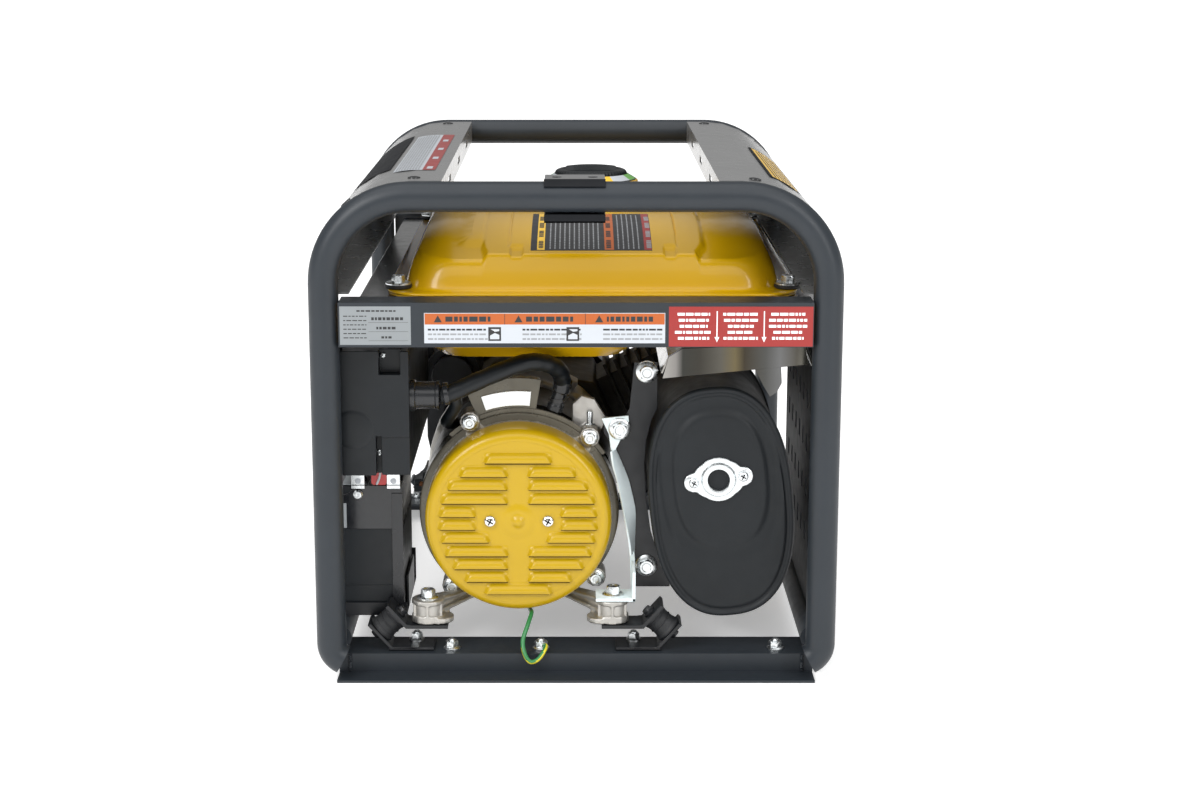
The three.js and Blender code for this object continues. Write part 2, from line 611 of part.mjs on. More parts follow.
function cylinderHead() {
  const fins = [];
  for (let i = 0; i < 6; i += 1) {
    const z = 104 + i * 11;
    fins.push(box(-46, 46, 2, 92, z, z + 3));
  }
  fins.push(box(-34, 34, 10, 84, 92, 162));
  fins.push(box(-48, 48, 0, 94, 162, 176));
  for (let i = 0; i < 2; i += 1) {
    const z = 180 + i * 9;
    fins.push(box(-44, 44, 4, 90, z, z + 3));
  }
  fins.push(box(-34, 34, 10, 84, 170, 196));
  fins.push(box(-30, -6, -10, 12, 168, 190));
  fins.push(box(-30, -6, 82, 103, 168, 190));
  return leaned(union(fins));
}

part('crankcase', crankcase(), PAINT.cast);
part('cylinder_head', cylinderHead(), PAINT.cast);
part('rocker_cover', leaned(stack({ x0: -36, x1: 36, y0: 8, y1: 86 },
  [[196.4, 0, 10], [204, 0, 10], [214, 3, 12], [217, 8, 12]], 3)),
  PAINT.black);
part('crankshaft', union(rod([AXIS.x, -29.7, AXIS.z], [AXIS.x, 120, AXIS.z], 12, 14),
  rod([AXIS.x, 5, AXIS.z], [AXIS.x, 80, AXIS.z], 15.4, 14),
  box(AXIS.x - 20, AXIS.x + 20, 20, 32, AXIS.z - 38, AXIS.z + 24),
    box(AXIS.x - 20, AXIS.x + 20, 56, 68, AXIS.z - 38, AXIS.z + 24)),
  PAINT.steel);

function flywheel() {
  const { flywheelY0: y0, flywheelY1: y1 } = REAR;
  const disc = turned([[0, y0], [30, y0], [30, y0 + 4], [78, y0 + 4], [82, y0 + 8], [82, y0 + 18],
    [76, y0 + 22], [0, y0 + 22]], 26);
  const blades = [];
  const count = 10;
  for (let i = 0; i < count; i += 1) {
    const blade = box(48, 78, y0 + 20, y1, -1.6, 1.6);
    blade.rotateY((i / count) * 2 * Math.PI);
    blade.translate(AXIS.x, 0, AXIS.z);
    blades.push(blade);
  }
  return union(disc, blades, rod([AXIS.x, y0 + 15, AXIS.z], [AXIS.x, y1 - 2, AXIS.z], 24, 20));
}

function shroud() {
  const { shroudY0: y0, shroudY1: y1, shroudR: r } = REAR;
  const round = turned([[86, y0], [r, y0], [r, y1 - 6], [r - 6, y1], [74, y1], [74, y1 - 2],
    [r - 7, y1 - 2], [r - 2, y1 - 7], [r - 2, y0 + 2], [86, y0 + 2], [86, y0]], 30);
  return round;
}

function recoilCover() {
  const { shroudY1, recoilY1: y1 } = REAR;
  const y0 = shroudY1 + GAP;
  const shell = turned([[0, y1 - 2.5], [56, y1 - 2.5], [66, y1 - 12], [68, y0], [84, y0], [84, y0 + 2.5],
    [71, y0 + 2.5], [69, y1 - 10], [58, y1], [0, y1]], 28);
  const slots = [];
  for (let i = 0; i < 12; i += 1) {
    const slot = box(26, 52, y1 - 8, y1 + 4, -3, 3);
    slot.rotateY((i / 12) * 2 * Math.PI);
    slot.translate(AXIS.x, 0, AXIS.z);
    slots.push(slot);
  }
  const [x, z] = polar(64, 38);
  const eye = rod([x, y0 + 8, z], [x, y1 + 2, z], 11, 14);
  return cut(union(shell, eye), slots, rod([x, y0 + 12, z], [x, y1 + 8, z], 4, 10));
}

part('flywheel', flywheel(), PAINT.cast);
part('blower_housing', shroud(), PAINT.black);
part('recoil_cover', recoilCover(), PAINT.black);

const [handleX, handleZ] = polar(64, 38);
const handleY = REAR.recoilY1 + 2 + GAP;
part('recoil_handle', union(rod([handleX, handleY, handleZ], [handleX, handleY + 12, handleZ], 8, 12),
  bar([V(handleX - 30, handleY + 18, handleZ + 8), V(handleX, handleY + 14, handleZ),
    V(handleX + 30, handleY + 18, handleZ - 8)], 8, 10)),
  PAINT.black);
part('starter_motor', union(rod([-120, 34, 200], [-120, 110.5, 200], 27, 20),
  rod([-120, 22, 200], [-120, 40, 200], 20, 14),
  rod([-148, 50, 218], [-148, 96, 218], 10, 10)), PAINT.black);
part('oil_filler_cap', union(rod([ENGINE.blockX0 - 2 - GAP, 50, 84], [ENGINE.blockX0 - 10, 50, 84], 14,
  16), rod([ENGINE.blockX0 - 18, 50, 84], [ENGINE.blockX0 - 8, 50, 84], 7, 12),
    rod([ENGINE.blockX0 - 4, 50, 84], [ENGINE.blockX0 + 11, 50, 84], 9, 12),
  box(ENGINE.blockX0 - 18, ENGINE.blockX0 - 9, 38, 62, 81, 87)), PAINT.black);

part('carburettor', union(box(66, 98, 108, 146, 172, 206), rod([82, 127, 150], [82, 127, 174], 15, 16),
  rod([82, 104, 190], [82, 157.4, 190], 11, 14), rod([78, 144, 204], [78, 144, 215], 3.2, 8)),
    PAINT.cast);
part('choke_lever', union(rod([98.3, 138, 190], [104, 138, 190], 5, 12),
  box(100, 103, 134, 142, 190, 222)), PAINT.black);

function airCleaner() {
  const outline = { x0: 66, x1: 176, y0: 160, y1: 232 };
  const bodyBox = stack({ ...outline, y0: 159, y1: 232 }, [[150, 4, 14], [154, 0, 16], [236, 0, 16],
    [244, 6, 18]], 3);
  const rim = stack({ x0: 64, x1: 178, y0: 157.9, y1: 234 }, [[192, 0, 16], [196, 0, 16]], 3);
  return cut(union(bodyBox, rim), rod([82, 150, 190], [82, 175, 190], 8, 12));
}

part('air_cleaner', airCleaner(), PAINT.black);

// ---------- exhaust ----------
function oval(grow, count) {
  const points = [];
  for (let i = 0; i < count; i += 1) {
    const a = (i / count) * 2 * Math.PI;
    const power = 0.82;
    const c = Math.sign(Math.cos(a)) * Math.abs(Math.cos(a)) ** power;
    const s = Math.sign(Math.sin(a)) * Math.abs(Math.sin(a)) ** power;
    const [x, z] = [(MUFFLER.halfX + grow) * c, (MUFFLER.halfZ + grow) * s];
    const t = rad(MUFFLER.tilt);
    points.push([MUFFLER.x + x * Math.cos(t) - z * Math.sin(t),
      MUFFLER.z + x * Math.sin(t) + z * Math.cos(t)]);
  }
  return points;
}

function muffler() {
  const { frontY, rearY } = MUFFLER;
  const levels = [[frontY + 1, -34], [frontY + 1, -22], [frontY + 4, -16], [frontY + 5, -5],
    [frontY + 1, -1.5], [frontY + 1, 1], [frontY + 7, 1.5],
    [frontY + 9, 0], [rearY - 9, 0], [rearY - 7, 1.5], [rearY - 1, 1], [rearY - 1, -3], [rearY, -20]];
  const shell = loft(levels.map(([y, grow]) => oval(grow, 30).map(([x, z]) => V(x, y, z))));
  const outlet = rod([ARRESTOR.x, frontY - 5, ARRESTOR.z], [ARRESTOR.x, frontY + 26, ARRESTOR.z],
    ARRESTOR.holeR, 16);
  const inlet = rod([108, rearY - 20, 178], [108, rearY + 5, 178], 13, 16);
  const room = [[frontY + 8, -18], [frontY + 11, -2], [rearY - 11, -2], [rearY - 4, -18]];
  const inside = loft(room.map(([y, grow]) => oval(grow, 20).map(([x, z]) => V(x, y, z))));
  return cut(shell, outlet, inlet, inside);
}

function arrestor() {
  const { x, z, r, holeR, earX, tilt } = ARRESTOR;
  const y = MUFFLER.frontY + 1 - GAP;
  const eyes = [-1, 1].map((side) => [x + side * earX * Math.cos(rad(tilt)),
    z - side * earX * Math.sin(rad(tilt))]);
  const flangeBody = turned([[holeR, y - 5], [r - 4, y - 5], [r, y - 3.4], [r, y], [holeR, y],
    [holeR, y - 5]], 22, x, z);
  const pads = eyes.map(([ex, ez]) => rod([ex, y - 3, ez], [ex, y, ez], 8, 14));
  const bridges = eyes.map(([ex, ez]) => {
    const dx = (ex - x) * 0.5;
    const dz = (ez - z) * 0.5;
    const plate = box(-15, 15, y - 3, y, -10, 10);
    plate.rotateY(-rad(tilt));
    plate.translate(x + dx, 0, z + dz);
    return plate;
  });
  const bore = rod([x, y - 9, z], [x, y + 3, z], holeR, 20);
  return cut(union(flangeBody, pads, bridges), bore);
}

part('muffler_body', muffler(), PAINT.muffler);
part('spark_arrestor_flange', arrestor(), PAINT.zinc);
part('exhaust_pipe', bar(smooth([V(108, -94, 178), V(108, -70, 178), V(106, -48, 184), V(100, -30, 192),
  V(96, -12.4, 196)], 12), 12, 12), PAINT.steel);
function heatShield() {
  const hood = [[73, 258], [79, 272], [90, 279], [192, 283], [200, 262], [201.4, 262.6], [193.2, 284.6],
    [89.4, 280.4], [77.6, 273], [71.6, 258.6]];
  const skirt = [[73, 254], [196, 266], [192.6, 283.8], [89.7, 279.7], [78, 272.4]];
  const tab = cut(prismY([[151, 262], [173, 266], [174, 250], [170, 242], [164, 238], [158, 248]],
    -243.4, -241.9), prismY(oval(2.5, 28), -250, -230));
  return union(prismY(hood, -243, -84), prismY(skirt, -244.2, -242.8), tab);
}

part('heat_shield', heatShield(), PAINT.zinc);

// ---------- stays ----------
function strap() {
  const y = -219;
  const outer = [[22, 214], [45, 216], [46, 206], [40, 200], [33.6, 186.5], [39.7, 173.2], [44.9, 159.9],
    [48.4, 146.5], [51.1, 133], [51.2, 119.6], [50.8, 106], [50.6, 94.3], [51.5, 83.4], [51.5, 49.7]];
  const inner = [[48.1, 49.7], [48, 69.8], [47.9, 83.4], [47.2, 94.3], [46, 106], [43.4, 119.6],
    [40.7, 133], [38.1, 146.5], [35.4, 159.9], [31.9, 173.2], [30.1, 186.5], [28.3, 200]];
  const foot = FOOT.topZ + GAP;
  return union(prismY([...outer, ...inner], y - 2, y), box(48.3, 50.9, -260, -219.5, foot, 88),
    box(17, 50.9, -260, -232, foot, foot + 2.5));
}

// Pressed plate joining the muffler's tabs to the engine, cut clear of the muffler.
function stayPlate() {
  const outline = [[50, 62], [82, 62], [82, 214], [70, 214], [70, 262], [50, 262], [46, 222], [42, 214],
    [24, 214], [24, 200], [31, 190], [35, 172], [43, 140], [47, 112], [47.5, 90], [49, 76]];
  return cut(prismY(outline, -216, -213), prismY(oval(3, 28), -230, -200));
}

part('zinc_strap', strap(), PAINT.zinc);
part('stay_plate', stayPlate(), PAINT.black);

// ---------- electrics ----------
function controlBox() {
  const { x0, x1, y0, y1, z0, z1 } = BOX;
  const inside = box(x0 - 5, x1 - 4, y0 + 14, y1 - 3, z0 + 3, z1 - 3);
  const pocket = box(-165, -147, y0 - 5, y0 + 11, 261, z1 + 5);
  const pad = box(-164, x1 + 5, y0 - 5, y0 + 2, z0 - 5, 207);
  const slot = box(-168.5, -163.9, y0 - 5, y0 + 9, z0 - 5, 208);
  const gland = rod([x1 - 5, GLAND.y, GLAND.z], [x1 + GLAND.length, GLAND.y, GLAND.z], GLAND.r, 14);
  return union(cut(box(x0, x1, y0, y1, z0, z1), inside, pocket, pad, slot), gland);
}

const PANEL = { x0: -200.6, x1: BOX.x0 - GAP, y0: BOX.y0, y1: 30, z0: 166, z1: 288 };
const SWITCH = { y: -216, z: 250 };
const BREAKER = { y: -216, z: 200 };

function panel() {
  const { x0, x1, y0, y1, z0, z1 } = PANEL;
  const plate = box(x0, x1, y0, y1, z0, z1);
  const { y: sy, z: sz } = SWITCH;
  const holes = [box(x0 - 5, x1 + 5, sy - 11, sy + 11, sz - 15, sz + 15),
    rod([x0 - 5, BREAKER.y, BREAKER.z], [x1 + 5, BREAKER.y, BREAKER.z], 7, 14)];
  for (const y of [-150, -95, -40]) holes.push(rod([x0 + 1.2, y, 212], [x0 - 5, y, 212], 18, 20));
  return cut(plate, holes);
}

part('control_box', controlBox(), PAINT.black);
part('control_panel', panel(), PAINT.black);
const rocker = prismY([[PANEL.x0 - 3.5, SWITCH.z + 13], [PANEL.x0 - 0.5, SWITCH.z],
  [PANEL.x0 - 3.5, SWITCH.z - 13], [PANEL.x1 + 1.2, SWITCH.z - 12],
  [PANEL.x1 + 8, SWITCH.z], [PANEL.x1 + 1.2, SWITCH.z + 12]], SWITCH.y - 10, SWITCH.y + 10);
// The rocker rests pressed on its OFF side.
rocker.translate(-PANEL.x1, 0, -SWITCH.z);
rocker.rotateY(rad(9));
rocker.translate(PANEL.x1, 0, SWITCH.z);
part('engine_switch_rocker', rocker, PAINT.red);
part('breaker_button', rod([PANEL.x0 - 6, BREAKER.y, BREAKER.z], [PANEL.x1 + 6, BREAKER.y, BREAKER.z],
  6.4, 14), PAINT.black);

function battery() {
  const { x0, x1, y0, y1, z0, z1 } = BATTERY;
  const middle = (z0 + z1) / 2;
  const lower = box(x0, x1, y0, y1, z0, middle + 20);
  const upper = box(x0 + 1, x1 - 1, y0 + 1, y1 - 1, middle, z1);
  const posts = [[-194, -182, y0 + 8], [-164, -152, y0 + 36]].flatMap(([a, b, y]) => [box(a, b, y,
    y + 14, z1 - 2, z1 + 3),
    cut(box(a, b, y, y + 2, z1, z1 + 13), rod([(a + b) / 2, y - 5, z1 + 8], [(a + b) / 2, y + 5, z1 + 8],
      2.8, 10))]);
  return union(lower, upper, posts);
}

part('battery', battery(), PAINT.black);

function harness() {
  const start = BOX.x1 + GLAND.length + 1.6;
  const main = smooth([V(start, GLAND.y, GLAND.z), V(-106, -246, 241.5), V(-81, -241, 252),
    V(-47, -234, 264.5),
    V(-28, -226, 264), V(-15, -213, 255), V(-11.5, -204, 243), V(-16, -200.5, 225), V(-19, -200, 217.5)],
      26);
  const branch = smooth([V(-104, -244.5, 243.5), V(-102, -236, 230), V(-108, -224, 217),
    V(-112, -206, 208), V(-110, -190, 203), V(-107, -178, 201)], 12);
  return union(bar(main, 8, 10), bar(branch, 5.5, 8));
}

const groundPath = [V(-42, -206, 41.6), V(-40, -225, 44), V(-38.5, -243, 46.5), V(-41.5, -256, 40),
  V(-45.5, -265, 29),
  V(-44, -271.5, 19.5), V(-39.3, -274.5, 13.2), V(-33, -274, 14.6), V(-27.5, -269.5, 20.4),
    V(-26, -262, 23), V(-27, -258, 22)];
part('harness_sleeve', harness(), PAINT.black);
part('ground_wire', bar(smooth(groundPath, 24), 1.8, 6), PAINT.green);

export default generator;
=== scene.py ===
import bpy
import random
from math import acos, copysign, cos, hypot, pi, radians, sin, sqrt
from mathutils import Matrix, Vector


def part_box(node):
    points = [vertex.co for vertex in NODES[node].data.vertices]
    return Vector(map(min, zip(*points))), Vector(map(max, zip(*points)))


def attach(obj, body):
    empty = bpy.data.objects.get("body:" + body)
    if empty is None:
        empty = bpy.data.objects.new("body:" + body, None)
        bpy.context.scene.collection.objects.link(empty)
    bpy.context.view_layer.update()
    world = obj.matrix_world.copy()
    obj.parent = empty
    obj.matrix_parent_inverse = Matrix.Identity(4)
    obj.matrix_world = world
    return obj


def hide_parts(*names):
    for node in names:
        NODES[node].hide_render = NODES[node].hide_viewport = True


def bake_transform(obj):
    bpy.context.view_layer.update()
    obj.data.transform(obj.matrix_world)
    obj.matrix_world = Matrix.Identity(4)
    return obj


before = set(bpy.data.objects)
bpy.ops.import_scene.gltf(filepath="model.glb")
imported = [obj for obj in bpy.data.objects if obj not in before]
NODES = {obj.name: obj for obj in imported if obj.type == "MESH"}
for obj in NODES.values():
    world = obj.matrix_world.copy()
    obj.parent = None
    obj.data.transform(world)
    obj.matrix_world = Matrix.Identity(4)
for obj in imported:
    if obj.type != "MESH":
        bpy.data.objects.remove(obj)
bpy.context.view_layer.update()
MM = 0.001
RNG = random.Random(11)
RIGHT, LEFT, BACK, FRONT, UP = (1, 0, 0), (-1, 0, 0), (0, 1, 0), (0, -1, 0), (0, 0, 1)

# -------- values shared with the CAD, in mm
HOOP = dict(side=207.5, top=412.5, y=280.0, r=12.5, bend=71.5, foot=16.0, foot_z=32.0, turn=66.0)
AX, AZ = -49.5, 130.0
TANK = dict(x0=-160.0, x1=188.0, hy=250.0, flange=327.2, top=373.0)
TANK_BOLTS = [(x, y) for x in (-150.5, 179.5) for y in (-220.0, 220.0)]
CAP = dict(x=14.4, y=60.0, dish=45.0)
MUF = dict(x=123.5, z=148.0, hx=60.0, hz=99.0, tilt=6.0, front=-257.0, rear=-78.0)
ARR = dict(x=120.7, z=169.7, tilt=-8.0)
MOUNT_Y, MOUNT_ANGLE = 247.0, 48.0
MOUNT_CENTRE, MOUNT_SPREAD, MOUNT_Z = -44.0, 117.0, 40.0


# -------- materials
def add_node(mat, kind, output, **values):
    """Adds a shader node, fills its inputs and returns one output."""
    node = mat.node_tree.nodes.new("ShaderNode" + kind)
    if kind == "Mix":
        node.data_type = "RGBA"
    fill(mat, node, **values)
    return node.outputs[output]


def fill(mat, node, **values):
    """Sets or links inputs by name; "_" stands for a space in the name."""
    for key, value in values.items():
        socket = node.inputs[key.replace("_", " ")]
        if isinstance(value, bpy.types.NodeSocket):
            mat.node_tree.links.new(value, socket)
        else:
            socket.default_value = value


def surface(mat):
    return mat.node_tree.nodes["Principled BSDF"]


def material(name, colour, rough=0.5, metal=0.0, coat=0.0, spread=0.06, patch=25.0, grain=900.0, bump=0.02,
        rough_spread=0.06, specular=0.5, speck=0.0, coat_rough=0.08, streak=None):
    """A procedural surface: patchy tone, uneven gloss and a fine bump, all in the shared frame's metres."""
    mat = bpy.data.materials.new(name)
    mat.use_nodes = True

    def noise(scale, detail, where):
        return add_node(mat, "TexNoise", "Fac", Scale=scale, Detail=detail, Vector=where)

    def ranged(value, low, high, to_low, to_high):
        return add_node(mat, "MapRange", "Result", Value=value, From_Min=low, From_Max=high, To_Min=to_low,
            To_Max=to_high)

    def tones(factor, a, b):
        return add_node(mat, "Mix", "Result", Factor=factor, A=a, B=b)

    place = add_node(mat, "TexCoord", "Object")
    fine_place = add_node(mat, "Mapping", "Vector", Vector=place, Scale=streak) if streak else place
    fine = noise(grain, 3.0, fine_place)
    low = [c * (1 - spread) for c in colour]
    high = [min(1.0, c * (1 + spread) + spread * 0.004) for c in colour]
    tone = tones(ranged(noise(patch, 4.0, place), 0.3, 0.7, 0.0, 1.0), (*low, 1), (*high, 1))
    if speck:
        bright = [min(1.0, c * 1.6 + 0.02) for c in colour]
        tone = tones(ranged(fine, 0.58, 0.72, 0.0, speck), tone, (*bright, 1))
    gloss = ranged(noise(patch * 3.3, 5.0, place), 0.25, 0.75, max(0.02, rough - rough_spread),
        min(1.0, rough + rough_spread))
    fill(mat, surface(mat), Base_Color=tone, Roughness=gloss, Metallic=metal, Specular_IOR_Level=specular,
        Coat_Weight=coat, Coat_Roughness=coat_rough)
    if bump:
        lift = add_node(mat, "Bump", "Normal", Strength=min(1.0, bump * 10), Distance=bump * MM,
            Height=fine)
        fill(mat, surface(mat), Normal=lift)
    return mat


def label(name, colour, rough=0.38, spread=0.02):
    """The glossy face of a printed sticker."""
    return material(name, colour, rough=rough, coat=0.2, spread=spread, grain=500, bump=0.006)


powder = material("powder_coat", (0.019, 0.024, 0.030), specular=0.4, rough=0.42, spread=0.05, grain=1500,
    bump=0.03, rough_spread=0.05)
gloss_black = material("gloss_black", (0.010, 0.011, 0.013), rough=0.22, coat=0.5, grain=1100, bump=0.02)
cover_paint = material("cover_paint", (0.155, 0.156, 0.155), rough=0.30, coat=0.55, grain=1600, bump=0.03,
    coat_rough=0.16)
yellow = material("yellow_enamel", (0.60, 0.345, 0.002), rough=0.24, specular=0.35, coat=0.28, spread=0.01,
    grain=260, bump=0.002, coat_rough=0.05, rough_spread=0.01)
yellow_satin = material("yellow_cover", (0.48, 0.305, 0.002), rough=0.30, specular=0.35, coat=0.2,
    spread=0.02, grain=500, bump=0.003, coat_rough=0.10, rough_spread=0.01)
muffler_black = material("muffler_black", specular=0.32, colour=(0.006, 0.008, 0.010), rough=0.50,
    spread=0.12, grain=1400, bump=0.05, speck=0.12)
guard_black = material("guard_black", (0.006, 0.007, 0.009), rough=0.62, specular=0.2, spread=0.08,
    grain=1300, bump=0.03)
clip_black = material("clip_black", (0.010, 0.011, 0.013), rough=0.12, coat=0.8, coat_rough=0.04, grain=1100,
    bump=0.006, rough_spread=0.04)
steel_black = material("steel_black", (0.006, 0.007, 0.009), rough=0.38, spread=0.08, grain=1300, bump=0.03)
plastic = material("black_plastic", (0.004, 0.006, 0.008), specular=0.35, rough=0.42, spread=0.08,
    grain=2200, bump=0.05)
plastic_gloss = material("black_plastic_gloss", (0.014, 0.015, 0.017), rough=0.25, spread=0.06, grain=900,
    bump=0.015)
rubber = material("mount_rubber", (0.012, 0.013, 0.015), rough=0.58, spread=0.15, grain=1800, bump=0.06)
cast = material("cast_aluminium", (0.50, 0.485, 0.455), rough=0.50, metal=1.0, spread=0.10, grain=900,
    bump=0.10, rough_spread=0.12, speck=0.10)
cast_dark = material("cast_block", (0.075, 0.072, 0.066), rough=0.55, metal=0.9, spread=0.2, grain=700,
    bump=0.12)
zinc = material("zinc_plate", (0.74, 0.77, 0.78), rough=0.30, metal=1.0, spread=0.08, patch=90, grain=500,
    bump=0.02, rough_spread=0.12)
zinc_pale = material("zinc_pale", (0.80, 0.90, 0.92), rough=0.42, spread=0.05, patch=60, grain=700,
    bump=0.02)
chrome = material("bright_steel", (0.80, 0.80, 0.79), rough=0.12, metal=1.0, spread=0.04, grain=400,
    bump=0.006, rough_spread=0.05)
shield_steel = material("shield_steel", (0.30, 0.275, 0.225), rough=0.16, metal=1.0, spread=0.10, patch=14,
    grain=300, bump=0.03, rough_spread=0.08)
laminate = material("laminated_steel", (0.045, 0.042, 0.036), rough=0.42, metal=1.0, spread=0.15, grain=1200,
    bump=0.08, streak=(0.05, 1.0, 0.05))
# a bright glossy copy of the aluminium, used as a painted reflection on the top of the end bracket's brow
brow_reflection = material("painted_brow_reflection", (0.80, 0.82, 0.81), rough=0.24, metal=0.75, spread=0.06, patch=60,
    grain=1200, bump=0.05)
olive = material("cast_olive", (0.115, 0.105, 0.080), rough=0.30, metal=0.35, spread=0.25, patch=30,
    grain=900, bump=0.05)
copper = material("winding_copper", (0.55, 0.22, 0.07), rough=0.35, metal=0.85, spread=0.15, grain=1500,
    bump=0.08, streak=(1.0, 0.08, 1.0))
ink_black = material("print_black", (0.02, 0.02, 0.022), rough=0.42, spread=0.03, bump=0.0)
ink_white = material("print_white", (0.86, 0.86, 0.86), rough=0.40, spread=0.015, bump=0.0)
label_white = label("label_white", (0.50, 0.53, 0.57), spread=0.015)
label_silver = material("label_silver", (0.25, 0.27, 0.28), rough=0.40, metal=0.25, spread=0.03, grain=900,
    bump=0.01)
label_orange = label("label_orange", (0.43, 0.088, 0.005))
label_red = label("label_red", (0.29, 0.013, 0.010), spread=0.03)
label_amber = label("label_amber", (0.86, 0.52, 0.03), rough=0.36)
label_green = label("label_green", (0.12, 0.36, 0.06))
label_grey = material("label_grey", (0.27, 0.28, 0.29), rough=0.42, spread=0.03, bump=0.0)
red_vinyl = material("red_vinyl", (0.50, 0.02, 0.018), rough=0.34, coat=0.3, spread=0.08, grain=700,
    bump=0.02)
wire_green = material("wire_green", (0.02, 0.19, 0.05), rough=0.34, coat=0.2, spread=0.05, bump=0.01)
wire_yellow = material("wire_yellow", (0.72, 0.62, 0.03), rough=0.34, coat=0.2, spread=0.04, bump=0.01)
wire_brown = material("wire_brown", (0.20, 0.07, 0.02), rough=0.4, spread=0.08, bump=0.01)
smoke = material("smoked_case", (0.008, 0.009, 0.011), rough=0.2, coat=0.15, spread=0.2, patch=60, grain=260,
    bump=0.03)
mesh_screen = material("screen_steel", (0.42, 0.38, 0.31), rough=0.5, metal=0.6, spread=0.2, grain=1500,
    bump=0.2)
# near-black painted shade for holes, slots and screw recesses, also the printed ticks on the meter dial
painted_hole_shade_and_ink = material("painted_hole_shade_and_ink", (0.006, 0.006, 0.006), rough=0.8, spread=0.1, bump=0.0, specular=0.1)
slot_shadow = material("louvre_shadow", (0.15, 0.095, 0.006), rough=0.6, spread=0.05, bump=0.0,
    specular=0.2)
cable_tie = material("nylon_black", (0.02, 0.02, 0.02), rough=0.3, spread=0.05, bump=0.01)


def paint_reflections_along_x(mat, stops):
    """Painted reflections across a shiny sheet: bright and dark bands and a yellow glint, set as colour
    stops at distances along X in mm.
    """
    low, high = stops[0][0], stops[-1][0]
    across = add_node(mat, "SeparateXYZ", "X", Vector=add_node(mat, "TexCoord", "Object"))
    spot = add_node(mat, "MapRange", "Result", Value=across, From_Min=low * MM, From_Max=high * MM)
    tint = add_node(mat, "ValToRGB", "Color", Fac=spot)
    band = tint.node.color_ramp.elements
    while len(band) < len(stops):
        band.new(0.5)
    for element, (x, _) in zip(band, stops):
        element.position = (x - low) / (high - low)
    for element, (_, colour) in zip(band, stops):
        element.color = (*colour, 1)
    fill(mat, surface(mat), Base_Color=tint)


# painted reflections on the heat shield, and on the exhaust pipe that shares its material: a bright left
# part, dark bands and a yellowish glint
paint_reflections_along_x(shield_steel, ((71, (0.30, 0.29, 0.27)), (84, (0.20, 0.19, 0.18)), (90, (0.04, 0.04, 0.036)),
    (104, (0.045, 0.042, 0.036)), (122, (0.085, 0.08, 0.068)), (134, (0.12, 0.098, 0.055)),
    (142, (0.045, 0.038, 0.028)), (160, (0.07, 0.07, 0.066)), (172, (0.12, 0.12, 0.12)),
    (186, (0.07, 0.065, 0.055)), (202, (0.17, 0.165, 0.14))))


def painted_underside_shade(mat, colour):
    """Painted shade: faces that look down get a near-black colour in place of the material's own colour."""
    own_colour = surface(mat).inputs["Base Color"].links[0].from_socket
    z = add_node(mat, "SeparateXYZ", "Z", Vector=add_node(mat, "NewGeometry", "Normal"))
    fall = add_node(mat, "MapRange", "Result", Value=z, From_Min=-0.12, From_Max=-0.02)
    fill(mat, surface(mat), Base_Color=add_node(mat, "Mix", "Result", Factor=fall, A=(*colour, 1),
        B=own_colour))


# painted shade on the undersides of the grey covers
painted_underside_shade(cover_paint, (0.012, 0.012, 0.013))


# -------- mesh tools
def new_object(name, data):
    obj = bpy.data.objects.new(name, data)
    bpy.context.scene.collection.objects.link(obj)
    return obj


class Form:
    """Collects faces in millimetres, each with a material index, and builds one piece from them."""

    def __init__(self):
        self.verts, self.faces, self.slots = [], [], []

    def add(self, shape, slot=0):
        verts, faces = shape
        base = len(self.verts)
        self.verts += [Vector(v) for v in verts]
        self.faces += [[base + i for i in f] for f in faces]
        self.slots += [slot] * len(faces)
        return self

    def build(self, name, mats, body="chassis", sharp=35, bevel=0.0, stands_for=None, slot=None):
        mesh = bpy.data.meshes.new(name)
        mesh.from_pydata([tuple(v * MM) for v in self.verts], [], self.faces)
        for mat in mats:
            mesh.materials.append(mat)
        mesh.polygons.foreach_set("material_index", self.slots)
        mesh.polygons.foreach_set("use_smooth", [True] * len(self.faces))
        mesh.update()
        mesh.set_sharp_from_angle(angle=radians(sharp))
        obj = new_object(name, mesh)
        if bevel:
            add_bevel(obj, bevel)
        if body:
            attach(obj, body)
        if stands_for:
            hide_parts(stands_for)
        return obj


def add_bevel(obj, width):
    edge = obj.modifiers.new("edge", "BEVEL")
    edge.width = width * MM
    edge.segments = 2
    edge.limit_method = "ANGLE"
    edge.angle_limit = radians(32)
    edge.harden_normals = True
    edge.use_clamp_overlap = True


def loft(rings, caps=True):
    """Skin over rings that have the same number of points."""
    count, last = len(rings[0]), len(rings) - 1
    faces = []
    for i in range(last):
        for j in range(count):
            k = (j + 1) % count
            faces.append([i * count + j, i * count + k, (i + 1) * count + k, (i + 1) * count + j])
    if caps:
        faces += [list(range(count))[::-1], [last * count + j for j in range(count)]]
    return outward([v for ring in rings for v in ring], faces)


def outward(verts, faces):
    """The same faces, turned over if the closed shape they make is inside out."""
    total = 0.0
    for f in faces:
        a = Vector(verts[f[0]])
        for k in range(1, len(f) - 1):
            total += a.dot(Vector(verts[f[k]]).cross(Vector(verts[f[k + 1]])))
    return verts, [f[::-1] for f in faces] if total < 0 else faces


def basis(axis):
    w = Vector(axis).normalized()
    u = w.orthogonal().normalized()
    return u, w.cross(u), w


def circle(centre, u, v, r, sides):
    """Points round a centre in the plane of u and v."""
    return [centre + (u * cos(a) + v * sin(a)) * r for a in (2 * pi * k / sides for k in range(sides))]


def turned(profile, origin, axis, sides=48):
    """Turned body: (radius, distance along axis) pairs."""
    u, v, w = basis(axis)
    return loft([circle(Vector(origin) + w * t, u, v, max(r, 0.001), sides) for r, t in profile])


